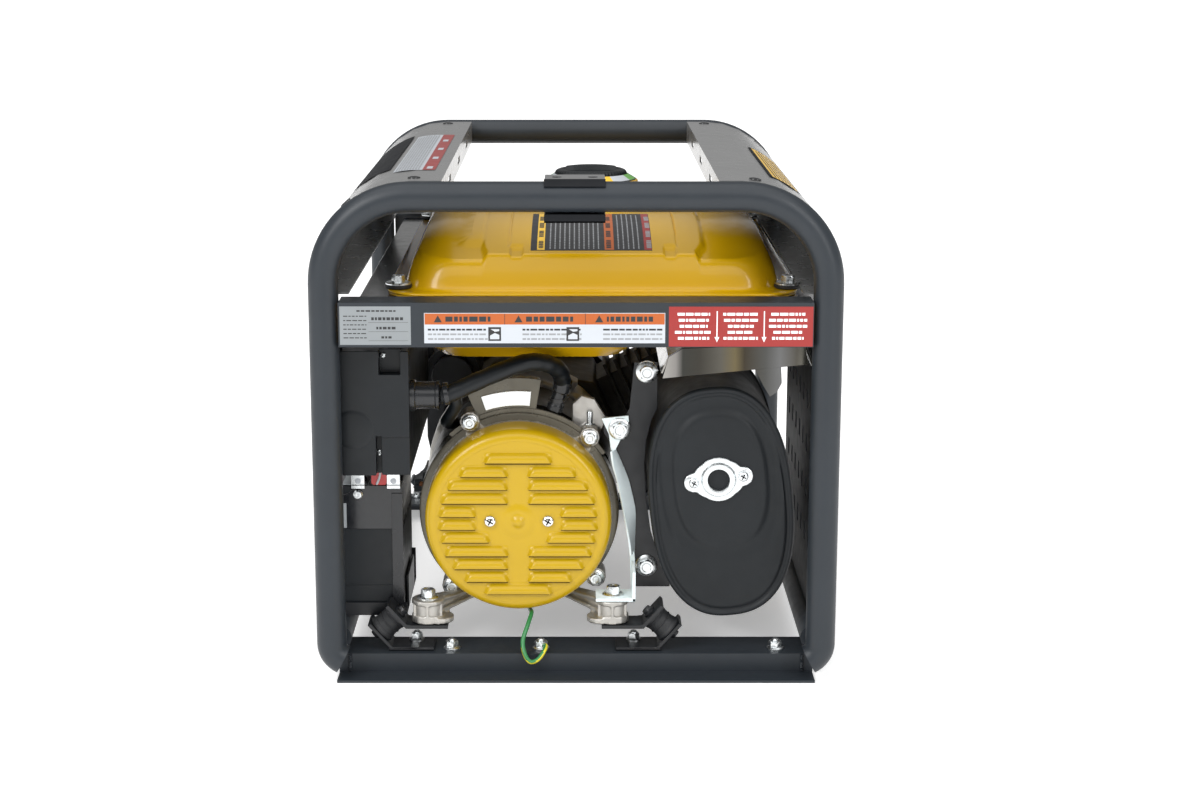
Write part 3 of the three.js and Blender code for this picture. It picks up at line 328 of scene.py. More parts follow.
def prism(points, axis, low, high):
    """Outline of (a, b) pairs pushed along X, Y or Z; pairs are (y, z), (x, z) or (x, y)."""
    def spot(a, b, t):
        return Vector({"X": (t, a, b), "Y": (a, t, b), "Z": (a, b, t)}[axis])

    return loft([[spot(a, b, t) for a, b in points] for t in (low, high)])


def slab(x0, x1, y0, y1, z0, z1):
    return prism([(x0, y0), (x1, y0), (x1, y1), (x0, y1)], "Z", z0, z1)


def smooth_path(points, steps):
    """Catmull-Rom curve through the points."""
    pts = [Vector(p) for p in points]
    pts = [pts[0] * 2 - pts[1], *pts, pts[-1] * 2 - pts[-2]]
    out = []
    for p0, p1, p2, p3 in zip(pts, pts[1:], pts[2:], pts[3:]):
        for t in (k / steps for k in range(steps)):
            out.append(0.5 * ((2 * p1) + (p2 - p0) * t + (2 * p0 - 5 * p1 + 4 * p2 - p3) * t * t
                              + (3 * p1 - p0 - 3 * p2 + p3) * t ** 3))
    return [*out, pts[-2]]


def tube(points, radius, sides=20):
    """Round bar along points; radius may be a number or a function of the point's index."""
    points = [Vector(p) for p in points]
    side, rings = None, []
    for i, p in enumerate(points):
        along = (points[min(i + 1, len(points) - 1)] - points[max(i - 1, 0)]).normalized()
        if side is None:
            side = along.orthogonal().normalized()
        side = (side - along * side.dot(along)).normalized()
        rings.append(circle(p, side, along.cross(side), radius(i) if callable(radius) else radius, sides))
    return loft(rings)


def arc(cx, cy, r, start, end, steps):
    angles = [radians(start + (end - start) * i / steps) for i in range(steps + 1)]
    return [(cx + r * cos(a), cy + r * sin(a)) for a in angles]


def round_rect(x0, x1, y0, y1, r, steps):
    return (arc(x1 - r, y1 - r, r, 0, 90, steps) + arc(x0 + r, y1 - r, r, 90, 180, steps)
            + arc(x0 + r, y0 + r, r, 180, 270, steps) + arc(x1 - r, y0 + r, r, 270, 360, steps))


def hex_bolt(form, spot, axis, flats=10.0, head=6.0, washer=9.0, slot=0, spin=0.0):
    """Flange bolt head: turned flange with a chamfered six-sided head."""
    rim = [(washer, 0), (washer, 0.9), (washer - 0.8, 1.6), (flats * 0.5, 2.4)]
    form.add(turned(rim, spot, axis, 28), slot)
    u, v, w = basis(axis)
    half, top = flats / 2, 1.8 + head

    def ring(radius, t, mix):
        """A hexagon of 24 points that rounds off as mix goes from 0 to 1."""
        out = []
        for a in (2 * pi * k / 24 for k in range(24)):
            flat = half / cos(a % (pi / 3) - pi / 6)
            reach = flat * (1 - mix) + min(flat, radius) * mix
            a += spin
            out.append(Vector(spot) + w * t + (u * cos(a) + v * sin(a)) * reach)
        return out

    form.add(loft([ring(half, 1.8, 0), ring(half, top - 1.0, 0), ring(half, top, 1), ring(half - 1.6, top,
        1), ring(half - 2.2, top - 0.5, 1)]), slot)


def hex_nut(form, spot, axis, flats=10.0, height=5.0, stud_up=3.0, slot=0):
    hex_bolt(form, spot, axis, flats, height, flats * 0.72, slot)
    top = height + stud_up
    form.add(turned([(3.0, 2), (3.0, top), (2.3, top + 0.8)], spot, axis, 16), slot)


def cross_screw(form, spot, axis, r=4.0, slot=0, dark=1):
    """Pan-head screw with a cross recess."""
    u, v, w = basis(axis)
    dome = [(r, 0), (r, r * 0.25), (r * 0.92, r * 0.45), (r * 0.7, r * 0.62), (r * 0.35, r * 0.72)]
    form.add(turned(dome, spot, axis, 24), slot)
    top = Vector(spot) + w * (r * 0.735)
    # the cross recess is painted shade: two thin dark bars laid on top of the head
    for turn in (0.3, 0.3 + pi / 2):
        p = (u * cos(turn) + v * sin(turn)) * r * 0.55
        q = w.cross(p) * 0.2
        quad = [top + p + q, top - p + q, top - p - q, top + p - q]
        form.add(loft([quad, [x + w * 0.12 for x in quad]]), dark)


def dress(name, mat, bevel=0.0, angle=35):
    """Gives a CAD node its finish, eased edges and smooth curves, without touching its mesh."""
    obj = NODES[name]
    if not obj.data.materials:
        obj.data.materials.append(mat)
    for s in obj.material_slots:
        s.link = "OBJECT"
        s.material = mat
    shade(obj, angle)
    if bevel:
        add_bevel(obj, bevel)


def shade(obj, angle):
    """Smooth shading broken at edges sharper than the angle, as a modifier."""
    group = bpy.data.node_groups.get(f"shade_{angle}")
    if group is None:
        group = bpy.data.node_groups.new(f"shade_{angle}", "GeometryNodeTree")
        for way in ("INPUT", "OUTPUT"):
            group.interface.new_socket("Geometry", in_out=way, socket_type="NodeSocketGeometry")
        add, link = group.nodes.new, group.links.new
        chain = [add(kind) for kind in ("NodeGroupInput", "GeometryNodeMergeByDistance",
            "GeometryNodeSetShadeSmooth", "GeometryNodeSetShadeSmooth", "NodeGroupOutput")]
        for node, following in zip(chain, chain[1:]):
            link(node.outputs[0], following.inputs[0])
        _, merge, faces, edges, _ = chain
        merge.inputs["Distance"].default_value = 0.00001
        faces.domain, edges.domain = "FACE", "EDGE"
        bend, test = add("GeometryNodeInputMeshEdgeAngle"), add("FunctionNodeCompare")
        test.data_type, test.operation = "FLOAT", "GREATER_THAN"
        test.inputs["B"].default_value = radians(angle)
        link(bend.outputs["Unsigned Angle"], test.inputs["A"])
        link(test.outputs["Result"], edges.inputs["Selection"])
        edges.inputs["Shade Smooth"].default_value = False
    obj.modifiers.new("shade", "NODES").node_group = group


# -------- frame
def hoop(y, name):
    """Bent tube with its feet turned in, and weld beads where they meet the cross-member."""
    h = HOOP
    half = arc(h["side"] - h["foot"], h["foot_z"], h["foot"], -h["turn"], 0, 8)
    half += [(h["side"], z) for z in (120.0, 220.0)]
    half += arc(h["side"] - h["bend"], h["top"] - h["bend"], h["bend"], 0, 90, 20)
    path = [(-x, y, z) for x, z in half] + [(x, y, z) for x, z in reversed(half)]
    form = Form().add(tube(path, h["r"], 40))
    inner = -1 if y > 0 else 1
    for s in (-1, 1):
        bead = []
        for i in range(26):
            wob = 0.35 * sin(i * 2.1)
            bead.append((s * (193.5 + wob * 0.3), y + inner * (12.3 + wob * 0.4), 3.0 + 14 * i / 25))
        form.add(tube(bead, lambda i: 1.5 + 0.35 * sin(i * 2.6), 8))
    form.build(name, [powder], sharp=50, stands_for=name, slot="frame_paint")


hoop(-HOOP["y"], "front_hoop")
hoop(HOOP["y"], "rear_hoop")

for rail in ("left_bottom_rail", "right_bottom_rail"):
    low, high = (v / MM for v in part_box(rail))
    mid = (low + high) / 2
    form = Form().add(tube([(mid.x, y, mid.z) for y in (low.y, mid.y, high.y)], 11.0, 36))
    form.build(rail + "_tube", [powder], stands_for=rail, slot="frame_paint", sharp=50)

for name in ("front_crossmember", "rear_crossmember", "front_label_plate", "rear_cross_plate"):
    dress(name, powder, angle=20)
for name in ("left_top_cover", "right_top_cover"):
    dress(name, cover_paint)
for name in ("left_tank_rail", "right_tank_rail"):
    dress(name, gloss_black, bevel=0.4)
for name, mat in (("top_latch_clip", clip_black), ("battery_tray", steel_black),
                  ("right_side_guard", guard_black), ("stay_plate", steel_black)):
    dress(name, mat, bevel=0.35)


def clip_lips():
    """Upper and lower lips that hook the latch clip round the front tube."""
    x0, x1, y, z = -26, 24, -HOOP["y"], HOOP["top"]
    inner, outer = (arc(y, z, r, 62, 138, 12) for r in (12.8, 14.4))
    form = Form().add(prism(inner + outer[::-1], "X", x0, x1))
    for y0, y1, z0, z1 in ((-284.5, -265.8, 391.6, 393.2), (-284.5, -283.0, 391.6, 398.6),
                           (-267.4, -265.8, 391.6, 395.2), (-274.5, -267.2, 423.0, 424.6)):
        form.add(slab(x0, x1, y0, y1, z0, z1))
    form.build("top_clip_lips", [guard_black], bevel=0.3, sharp=30)


clip_lips()
for place in ("outer", "inner"):
    for side in ("right", "left"):
        dress(f"{place}_bracket_front_{side}", steel_black, bevel=0.8)


# -------- rubber mounts
def on_slope(along, off):
    a = radians(MOUNT_ANGLE)
    return (MOUNT_CENTRE + MOUNT_SPREAD + along * cos(a) + off * sin(a),
            MOUNT_Z + along * sin(a) - off * cos(a))


def rubber_mount(name, flip_x, y):
    """Waisted rubber bush with three moulded beads, across the gap between the two brackets."""
    a, b = (Vector((x, y, z)) for x, z in (on_slope(0, -9.5), on_slope(0, 9.5)))
    if flip_x:
        a.x, b.x = 2 * MOUNT_CENTRE - a.x, 2 * MOUNT_CENTRE - b.x
    profile = [(12.4, 0.0), (12.5, 1.4), (11.6, 2.4), (10.9, 5.0), (10.6, 9.5), (10.9, 14.0), (11.6, 16.6),
               (12.5, 17.6), (12.4, 19.0)]
    form = Form().add(turned(profile, a, b - a, 40))
    for t in (4.2, 9.5, 14.8):
        form.add(turned([(10.95, t - 0.5), (11.35, t), (10.95, t + 0.5)], a, b - a, 40))
    form.build(name + "_bobbin", [rubber], stands_for=name, slot="mount_rubber")


for side, flip in (("right", False), ("left", True)):
    for end, y in (("front", -MOUNT_Y), ("rear", MOUNT_Y)):
        rubber_mount(f"isolator_{end}_{side}", flip, y)


# -------- fuel tank
def smoothstep(a, b, x):
    t = min(1.0, max(0.0, (x - a) / (b - a)))
    return t * t * (3 - 2 * t)


def tank_top(x, y):
    """Height of the pressed top, and how softly it meets the wall there."""
    ay = abs(y)
    crown = TANK["top"] - 14.5 * (max(0.0, ay - 85) / 138) ** 2.2
    side = min(x - TANK["x0"], TANK["x1"] - x)
    base = crown - 1.6 - 3.2 * smoothstep(170, 226, ay) - 2.4 * (max(0.0, 46 - side) / 15) ** 2
    shift = 3 * smoothstep(200, 224, ay)
    flat = smoothstep(-82 + shift, -77 + shift, x) * (1 - smoothstep(106 - 2 * shift, 111 - 2 * shift, x))
    if x < 0:
        base += 2.2 * smoothstep(-99, -94, x) * (1 - flat) * (1 - smoothstep(194, 202, ay))
    height = base + (crown - base) * flat
    for low, high in ((-57.0, -43.5), (73.0, 86.0)):
        notch = smoothstep(low, low + 3, x) * (1 - smoothstep(high - 3, high, x))
        height -= 2.4 * notch * smoothstep(205, 213, ay)
        groove = max(0.0, 1 - abs(x - (low if low < 0 else high)) / 1.3)
        height -= 1.4 * groove * (1 - smoothstep(203, 211, ay))
    return height, 10 - 6.5 * flat


WALL = ((13, 327.3), (14.2, 328.4), (15.2, 331), (16.2, 335), (18.6, 343), (21.2, 351), (23.6, 358),
    (26, 366), (28.5, 376), (31, 388), (99, 700))


def tank_height(x, y, inset):
    """Height of the shell: the side wall up to where the pressed top cuts it off, with a soft edge."""
    if inset < WALL[0][0]:
        return TANK["flange"]
    for (a, za), (b, zb) in zip(WALL, WALL[1:]):
        if inset <= b:
            wall = za + (zb - za) * (inset - a) / (b - a)
            break
    top, soft = tank_top(x, y)
    mix = max(soft - abs(wall - top), 0.0) / soft
    return min(wall, top) - mix * mix * soft / 4


def tank_shell():
    """The pressed upper half: rings from the flange inward, then rows that close toward the middle."""
    x0, x1, hy = TANK["x0"], TANK["x1"], TANK["hy"]
    insets = [13, 13.7, 14.2, 14.7, 15.2, 16.2, 17.4, 18.6, 20, 21.2, 22.4, 23.2, 23.9, 24.6, 25.3, 26, 26.7,
        27.5, 28.5, 30, 32, 34.5, 37.5, 41, 45, 50, 56, 63, 70]
    corner, across, along, rows = 16, 300, 60, 20

    def ring(inset, r):
        spots = []
        right, left, end = x1 - inset - r, x0 + inset + r, hy - inset - r
        corners = [(right, end, 0), (left, end, 90), (left, -end, 180), (right, -end, 270)]
        for k, (cx, cy, start) in enumerate(corners):
            spots += arc(cx, cy, r, start, start + 90, corner)
            nx, ny, turn = corners[(k + 1) % 4]
            there = arc(nx, ny, r, turn, turn + 1, 1)[0]
            here, n = spots[-1], along if k % 2 else across
            spots += [tuple(h + (t - h) * j / n for h, t in zip(here, there)) for j in range(1, n)]
        return spots

    rings = [[Vector((x, y, z)) for x, y in ring(d, 34)]
             for d, z in ((0.5, 325.3), (0.0, 325.8), (0.0, 326.8), (0.5, 327.3), (5, 327.3), (12, 327.3))]
    for d in insets:
        radius = 35 - 31 * max(0.0, d - 32) / 38
        rings.append([Vector((x, y, tank_height(x, y, d))) for x, y in ring(d, radius)])
    inner = rings[-1]
    for k in range(1, rows + 1):
        spots = [(p.x, p.y * (1 - k / rows)) for p in inner]
        rings.append([Vector((x, y, tank_height(x, y, 70))) for x, y in spots])
    count = len(inner)
    faces = []
    for i in range(len(rings) - 1):
        for j in range(count):
            k = (j + 1) % count
            if i >= len(rings) - rows - 1 and abs(inner[j].x - inner[k].x) < 0.001:
                continue
            faces.append([i * count + j, i * count + k, (i + 1) * count + k, (i + 1) * count + j])
    faces.append(list(range(count))[::-1])
    form = Form().add(([v for row in rings for v in row], faces))
    shell = form.build("tank_dome", [yellow], stands_for="tank_upper_shell", slot="tank_paint", sharp=70)
    shell.modifiers.new("weld", "WELD").merge_threshold = 0.00002
    dish = CAP["dish"]
    neck = [(dish + 7, 369), (dish + 5, 371.5), (dish + 2.6, 376), (dish + 1.2, 383), (dish + 0.6, 386.6),
            (dish - 0.8, 388.0), (dish - 3, 388.1), (dish - 3.4, 387.4), (30, 387.4), (29, 386.4)]
    form = Form().add(turned(neck, (CAP["x"], CAP["y"], 0), UP, 72))
    form.build("tank_neck", [yellow], slot="tank_paint")


tank_shell()
dress("tank_lower_shell", yellow, bevel=0.8)


def cap_and_gauge_ring():
    """Raised ring of coloured fields round the neck, and the ribbed cap with its grip bar."""
    cx, cy = CAP["x"], CAP["y"]

    def on_circle(r, z, a):
        return Vector((cx + r * cos(a), cy + r * sin(a), z))

    fields, steps = (1, 2, 1, 3, 1, 4, 1, 2, 1, 3, 1, 4), 96
    form = Form()
    for k in range(steps):
        a0, a1 = 2 * pi * k / steps, 2 * pi * (k + 1) / steps
        levels = ((35.2, 388.3, 0), (35.4, 393.4, fields[k * 12 // steps]), (42.8, 389.0, 0),
            (43.6, 388.2, 0))
        for (r0, z0, slot), (r1, z1, _) in zip(levels, levels[1:]):
            quad = [on_circle(*spot) for spot in ((r0, z0, a0), (r1, z1, a0), (r1, z1, a1), (r0, z0, a1))]
            form.add((quad, [[0, 1, 2, 3]]), slot)
    form.build("neck_ring_print", [ink_black, label_white, label_red, label_amber, label_green])
    steps = 4 * 60
    profile = [(26.0, 384.8, 0), (26.0, 388.6, 0), (34.4, 388.6, 0.0), (34.8, 389.2, 0.5),
        (34.8, 393.6, 1.0), (34.3, 395.4, 0.8), (33.0, 396.6, 0.2), (31.0, 397.4, 0), (28.0, 397.6, 0),
        (27.0, 396.6, 0), (24, 396.4, 0), (6, 396.8, 0)]
    rings = [[on_circle(r - (0.9 * depth if k % 4 < 2 else 0.0), z, 2 * pi * k / steps)
        for k in range(steps)] for r, z, depth in profile]
    grip = []
    for k in range(-6, 7):
        t = abs(k) / 6
        half, top = 4.6 + 2.0 * t, 401.8 - 1.8 * t ** 2
        grip.append([Vector((cx + 4 * k, cy + y, z)) for y, z in (
            (-half, 395.5), (half, 395.5), (half - 1.6, top - 0.8), (half - 3.0, top), (3.0 - half, top),
            (1.6 - half, top - 0.8))])
    form = Form().add(loft(rings)).add(loft(grip))
    form.build("fuel_cap_ribbed", [plastic], body="cap", stands_for="fuel_cap", slot="black_plastic",
        sharp=40)


cap_and_gauge_ring()


# -------- alternator cover
LOUVRES = [(-29.4, 29.9, 60.4), (-30, 30, -55.5)]
for near, far, top in ((7.5, 50.5, 48.5), (7.8, 60.7, 37), (7.8, 66.7, 25), (35, 68.5, 13.3), (35, 69, 1.9),
                       (23.5, 67, -9.5), (7.6, 63.7, -21.5), (8, 57, -33), (7.3, 47, -44.4)):
    LOUVRES += [(near, far, top), (-far, -near, top)]
LOUVRE_DROP = 8.2


def louvre_height(x, z):
    """Height of the pressed hoods and centre boss above the flat, in mm."""
    best = 0.0
    for a, b, top in LOUVRES:
        low = top - LOUVRE_DROP
        if not (low <= z <= top and a - 0.5 <= x <= b + 0.5):
            continue
        down = (top - z) / LOUVRE_DROP
        side = min(x - a, b - x)
        end = smoothstep(0.0, 2.4 + 8.0 * (1 - down), side)
        best = max(best, 4.3 * sin(pi * 0.66 * down ** 0.75) * end)
    r = hypot(x, z)
    return best + 2.6 * (1 - smoothstep(1.5, 7, r)) + 1.1 * (1 - smoothstep(9, 17, r))


def end_cover():
    """Pressed louvred disc as a height field, its rolled rim and two screws."""
    cell, reach, front = 0.95, 70.0, -248.7
    n = int(2 * reach / cell)
    xs = [(-reach + 2 * reach * i / n) for i in range(n + 1)]
    # split every louvre's lower edge into two close rows so that it stays crisp
    cuts = sorted({round(top - LOUVRE_DROP, 2) for _, _, top in LOUVRES})
    rows = [z for z in xs if all(abs(z - c) > 0.45 for c in cuts)]
    zs = sorted(rows + [c - 0.12 for c in cuts] + [c + 0.02 for c in cuts])
    form, index = Form(), {}
    for j, z in enumerate(zs):
        for i, x in enumerate(xs):
            if hypot(x, z) <= 70.5:
                index[(i, j)] = len(form.verts)
                form.verts.append(Vector((AX + x, front - louvre_height(x, z), AZ + z)))
    for j in range(len(zs) - 1):
        for i in range(len(xs) - 1):
            keys = [(i, j), (i + 1, j), (i + 1, j + 1), (i, j + 1)]
            if all(k in index for k in keys):
                quad = [index[k] for k in keys]
                ys = [form.verts[q].y for q in quad]
                x, z = (xs[i] + xs[i + 1]) / 2, (zs[j] + zs[j + 1]) / 2
                # a painted shadow line in the louvre_shadow colour on the flat just under each hood's lower
                # edge
                shadow_line = any(a + 1.5 < x < b - 1.5 and top - 10.1 < z < top - 8.15 for a, b, top in LOUVRES)
                form.faces.append(quad)
                form.slots.append(int(shadow_line and (max(ys) > front - 3.4 or max(ys) - min(ys) > 0.5)))
    rim = [(66.5, 3.2), (69.0, 2.6), (71.5, 2.3), (74.0, 2.6), (76.4, 3.6), (78.2, 5.4), (79.4, 7.8),
        (80.0, 10.6), (80.0, 37.8), (79.2, 38.4), (78.4, 38.0), (78.4, 10), (70, 5.5)]
    form.add(turned(rim, (AX, -251.0, AZ), BACK, 128))
    form.build("end_cover_pressed", [yellow_satin, slot_shadow], stands_for="alternator_end_cover",
        slot="tank_paint", sharp=48)
    screws = Form()
    for x in (-24.0, 25.6):
        cross_screw(screws, (AX + x, front + 0.1, AZ + 0.5), FRONT, 5.4)
    screws.build("end_cover_screws", [chrome, painted_hole_shade_and_ink], sharp=40)


end_cover()


# -------- castings: softened copies of the CAD solids
def cast_copy(node, name, mat, voxel):
    """A remeshed and eased copy of a CAD solid, with the soft edges of a casting."""
    mesh = NODES[node].data.copy()
    mesh.materials.clear()
    mesh.materials.append(mat)
    obj = new_object(name, mesh)
    remesh = obj.modifiers.new("skin", "REMESH")
    remesh.mode = "VOXEL"
    remesh.voxel_size = voxel * MM
    remesh.use_smooth_shade = True
    ease = obj.modifiers.new("ease", "SMOOTH")
    ease.factor = 0.5
    ease.iterations = 5
    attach(obj, "chassis")
    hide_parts(node)


cast_copy("alternator_end_bracket", "end_bracket_casting", cast, 1.0)
cast_copy("alternator_adapter", "adapter_casting", cast, 1.2)
cast_copy("crankcase", "crankcase_casting", cast_dark, 1.8)
for name, mat, bevel in (("cylinder_head", cast_dark, 0.5), ("rocker_cover", steel_black, 0.6),
                         ("stator_core", laminate, 0), ("rotor", copper, 0), ("crankshaft", laminate, 0),
                         ("flywheel", cast, 0.4), ("blower_housing", steel_black, 0.6),
                         ("recoil_cover", plastic, 0.5), ("recoil_handle", plastic_gloss, 1.2),
                         ("starter_motor", steel_black, 0.8), ("oil_filler_cap", plastic, 0.6),
                         ("carburettor", cast, 0.5), ("choke_lever", plastic, 0.5),
                         ("air_cleaner", plastic, 0.6), ("fuel_valve_body", cast, 0.4),
                         ("fuel_valve_lever", red_vinyl, 0.6),
                         ("heat_shield", shield_steel, 0.25), ("control_box", plastic, 1.8),
                         ("control_panel", plastic, 0.8), ("engine_switch_rocker", red_vinyl, 0.7),
                         ("breaker_button", plastic_gloss, 0.7), ("battery", plastic, 1.0)):
    dress(name, mat, bevel)
dress("fuel_hose", plastic_gloss, angle=50)
dress("exhaust_pipe", shield_steel, angle=40)


# -------- muffler
def oval(grow):
    """The muffler's tilted outline, grown outward."""
    t, count = radians(MUF["tilt"]), 160
    pts = []
    for a in (2 * pi * i / count for i in range(count)):
        x = copysign(abs(cos(a)) ** 0.82, cos(a)) * (MUF["hx"] + grow)
        z = copysign(abs(sin(a)) ** 0.82, sin(a)) * (MUF["hz"] + grow)
        pts.append((MUF["x"] + x * cos(t) - z * sin(t), MUF["z"] + x * sin(t) + z * cos(t)))
    return pts


def muffler_face(x, z):
    """Depth behind the rim of the pressed front, with its soft arch-shaped moat."""
    out = (abs((x - 1.0) / 53) ** 2.5 + abs((z - 20.0) / 80) ** 2.5) ** 0.4
    fade = smoothstep(-52, -20, z)
    inside = 1 - smoothstep(0.70, 0.80, out)
    moat = smoothstep(0.70, 0.79, out) * (1 - smoothstep(0.90, 1.0, out))
    return 1.2 + fade * (2.6 * moat - 0.8 * inside)


def muffler():
    """Front face pressed in rings toward the middle, rolled front seam, body and rear seam."""
    f, r, steps, turn = MUF["front"], MUF["rear"], 36, radians(MUF["tilt"])
    front = [(2.6, -5.6), (2.9, -4.2), (1.6, -2.8), (0.5, -1.8), (0.8, -0.4), (2.0, 0.9), (3.6, 1.3),
        (5.0, 1.0), (5.8, 0.3), (6.6, 0.5), (7.6, 1.2), (8.8, 1.0), (9.6, 0.0), (10.4, -0.4)]
    rear = [(10.4, -0.4), (9.6, 0.2), (8.0, 1.2), (5.5, 1.3), (3.5, 0.6), (1.5, -1.0), (1.0, -3.5),
        (2.0, -8), (3.0, -20)]
    rings = []
    for k in range(1, steps + 1):
        row = []
        for x, z in oval(-6.6):
            dx, dz = (x - MUF["x"]) * k / steps, (z - MUF["z"]) * k / steps
            depth = muffler_face(dx * cos(turn) + dz * sin(turn), dz * cos(turn) - dx * sin(turn))
            row.append(Vector((MUF["x"] + dx, f + depth, MUF["z"] + dz)))
        rings.append(row)
    levels = [(f + y, g) for y, g in front] + [(r - y, g) for y, g in rear]
    rings += [[Vector((x, y, z)) for x, z in oval(g)] for y, g in levels]
    form = Form().add(loft(rings))
    form.build("muffler_shell", [muffler_black], stands_for="muffler_body", slot="muffler_paint", sharp=60)


muffler()


def arrestor():
    """Two-eared outlet flange with a raised collar, two screws and a mesh across the hole."""
    x, z = ARR["x"], ARR["z"]
    ear, ear_r, y0, y1, steps = 21.0, 8.2, -259.2, -256.4, 120
    turn = Matrix.Translation(Vector((x, 0, z))) @ Matrix.Rotation(radians(ARR["tilt"]), 4, "Y")
    angles = [2 * pi * i / steps for i in range(steps)]
    outline = []
    for a in angles:
        # two round ears blended into the round boss
        best = max(19.0, 17.6 + 5.0 * abs(cos(a)) ** 3)
        for b in (-cos(a) * ear, cos(a) * ear):
            inside = ear_r ** 2 - (ear ** 2 - b * b)
            if b > 0 and inside > 0:
                best = max(best, b + sqrt(inside))
        outline.append((best * cos(a), best * sin(a)))

    def ring(y, radius=None, scale=1.0):
        spots = [(radius * cos(a), radius * sin(a)) for a in angles] if radius else outline
        return [turn @ Vector((a * scale, y, b * scale)) for a, b in spots]

    form = Form().add(loft([ring(y1, 9.5), ring(y1), ring(y0 + 0.5), ring(y0, scale=0.975), ring(y0, 15.0),
        ring(y0 - 2.0, 13.6), ring(y0 - 2.4, 9.5, 1.12), ring(y0 - 2.0, 9.5), ring(y1, 9.5)], caps=False))
    for s in (-1, 1):
        cross_screw(form, turn @ Vector((s * ear, y0, 0)), FRONT, 4.4)
    form.build("arrestor_flange", [zinc, painted_hole_shade_and_ink], stands_for="spark_arrestor_flange", slot="zinc_plate",
        sharp=40)
    screen, y = Form(), -255.0
    for k in range(-8, 9):
        off = k * 1.15
        reach = sqrt(max(0.0, 9.4 ** 2 - off ** 2))
        screen.add(tube([(x - reach, y, z + off), (x + reach, y, z + off)], 0.28, 6))
        screen.add(tube([(x + off, y + 0.3, z - reach), (x + off, y + 0.3, z + reach)], 0.28, 6))
    # a near-black disc of painted shade behind the mesh, for the dark inside of the outlet
    screen.add(turned([(9.6, 5.0), (9.6, 5.6), (2, 5.6)], (x, y, z), BACK, 32), 1)
    screen.build("arrestor_screen", [mesh_screen, painted_hole_shade_and_ink])


arrestor()


# -------- stays, straps and bolts
STRAP_EDGES = ((30.1, 33.6, 186.5), (31.9, 39.7, 173), (35.4, 44.9, 160), (38.1, 48.4, 146.5),
    (40.7, 51.1, 133), (43.4, 51.2, 119.6), (46, 50.8, 106), (47.4, 50.5, 94))


def twisted_strap():
    """Flat strap turning edge-on at both ends, with its top tab and its angle foot."""
    half_width, half_thick, y = 6.5, 0.9, -222.8
    rows = []
    for low, high, z in STRAP_EDGES:
        turn = acos(min(1.0, (high - low) / 2 / half_width))
        side = Vector((cos(turn), sin(turn), 0)) * half_width
        thick = Vector((-sin(turn), cos(turn), 0)) * half_thick
        p = Vector(((low + high) / 2, y, z))
        rows.append([p - side - thick, p + side - thick, p + side + thick, p - side + thick])
    edges = [smooth_path(edge, 5) for edge in zip(*rows)]
    form = Form().add(loft(list(zip(*edges))))
    form.add(prism([(22, 214), (45, 216.5), (46, 206), (40, 198.5), (33.8, 186), (30, 186), (28.3, 200)],
                   "Y", -221, -219))
    form.add(prism([(46.6, 96), (50.8, 96), (51.6, 84), (51.6, 49.7), (48.2, 49.7)], "Y", -223.4, -221.4))
    form.add(slab(48.3, 50.9, -260, -221.5, 62.1, 88))
    form.add(slab(17, 50.9, -260, -232, 62.1, 64.7))
    form.build("zinc_strap_twisted", [zinc_pale], stands_for="zinc_strap", slot="zinc_plate", sharp=50,
        bevel=0.25)


twisted_strap()


def fasteners():
    """The bolts, nuts and grommets that show."""
    form = Form()
    # alternator through bolts in the four ears
    for deg in (118, 47, -42, -131):
        x, z = AX + 90 * cos(radians(deg)), AZ + 90 * sin(radians(deg))
        hex_bolt(form, (x, -214.0, z), FRONT, 9.0, 5.0, 7.2, spin=deg)
    # muffler stays
    for x, y, z in ((37.4, -221.0, 205.1), (61.4, -216.0, 81.6), (60.7, -216.0, 254.2)):
        hex_bolt(form, (x, y, z), FRONT, 11.5, 6.5, 9.6, spin=x)
    for x, y in TANK_BOLTS:
        hex_bolt(form, (x, y, 331.2), UP, 10.0, 5.5, 11.0, spin=x)
    # foot bolts on the casting and at the rear
    for x, y, z in ((32.0, -247.0, 64.7), (-127.4, -247.0, 61.8), (-118.0, 240.0, 60.0),
                    (26.0, 240.0, 60.0)):
        hex_bolt(form, (x, y, z), UP, 11.0, 6.0, 9.5, spin=x)
    # cross-member nuts
    for x in (-107.1, -30.2, 171.9):
        hex_nut(form, (x, -252.7, 18.0), UP)
        hex_nut(form, (-x, 255.0, 18.0), UP)
    # nuts on the bracket feet
    for x in (50.0, -138.0):
        hex_nut(form, (x, -239.0, 21.3), UP, 9.0, 4.5)
    # nuts on both sides of the sloping plates
    tilt = radians(MOUNT_ANGLE)
    for side in (1, -1):
        for y in (-MOUNT_Y, MOUNT_Y):
            for sign in (-1, 1):
                x, z = on_slope(0, 12.9 * sign)
                spot = (MOUNT_CENTRE + side * (x - MOUNT_CENTRE), y, z)
                axis = (side * sign * sin(tilt), 0, -sign * cos(tilt))
                hex_nut(form, spot, axis, 8.0, 3.0, stud_up=1.0, slot=1)
    form.build("fasteners_zinc", [zinc, steel_black], slot="zinc_plate", sharp=30)
    profile = [(6.0, 327.6), (10.6, 327.6), (11.4, 328.4), (11.6, 330.2), (11.0, 331.0), (6.0, 331.2)]
    grommets = Form()
    for x, y in TANK_BOLTS:
        grommets.add(turned(profile, (x, y, 0), UP, 36))
    grommets.build("tank_grommets", [rubber], slot="mount_rubber")


fasteners()


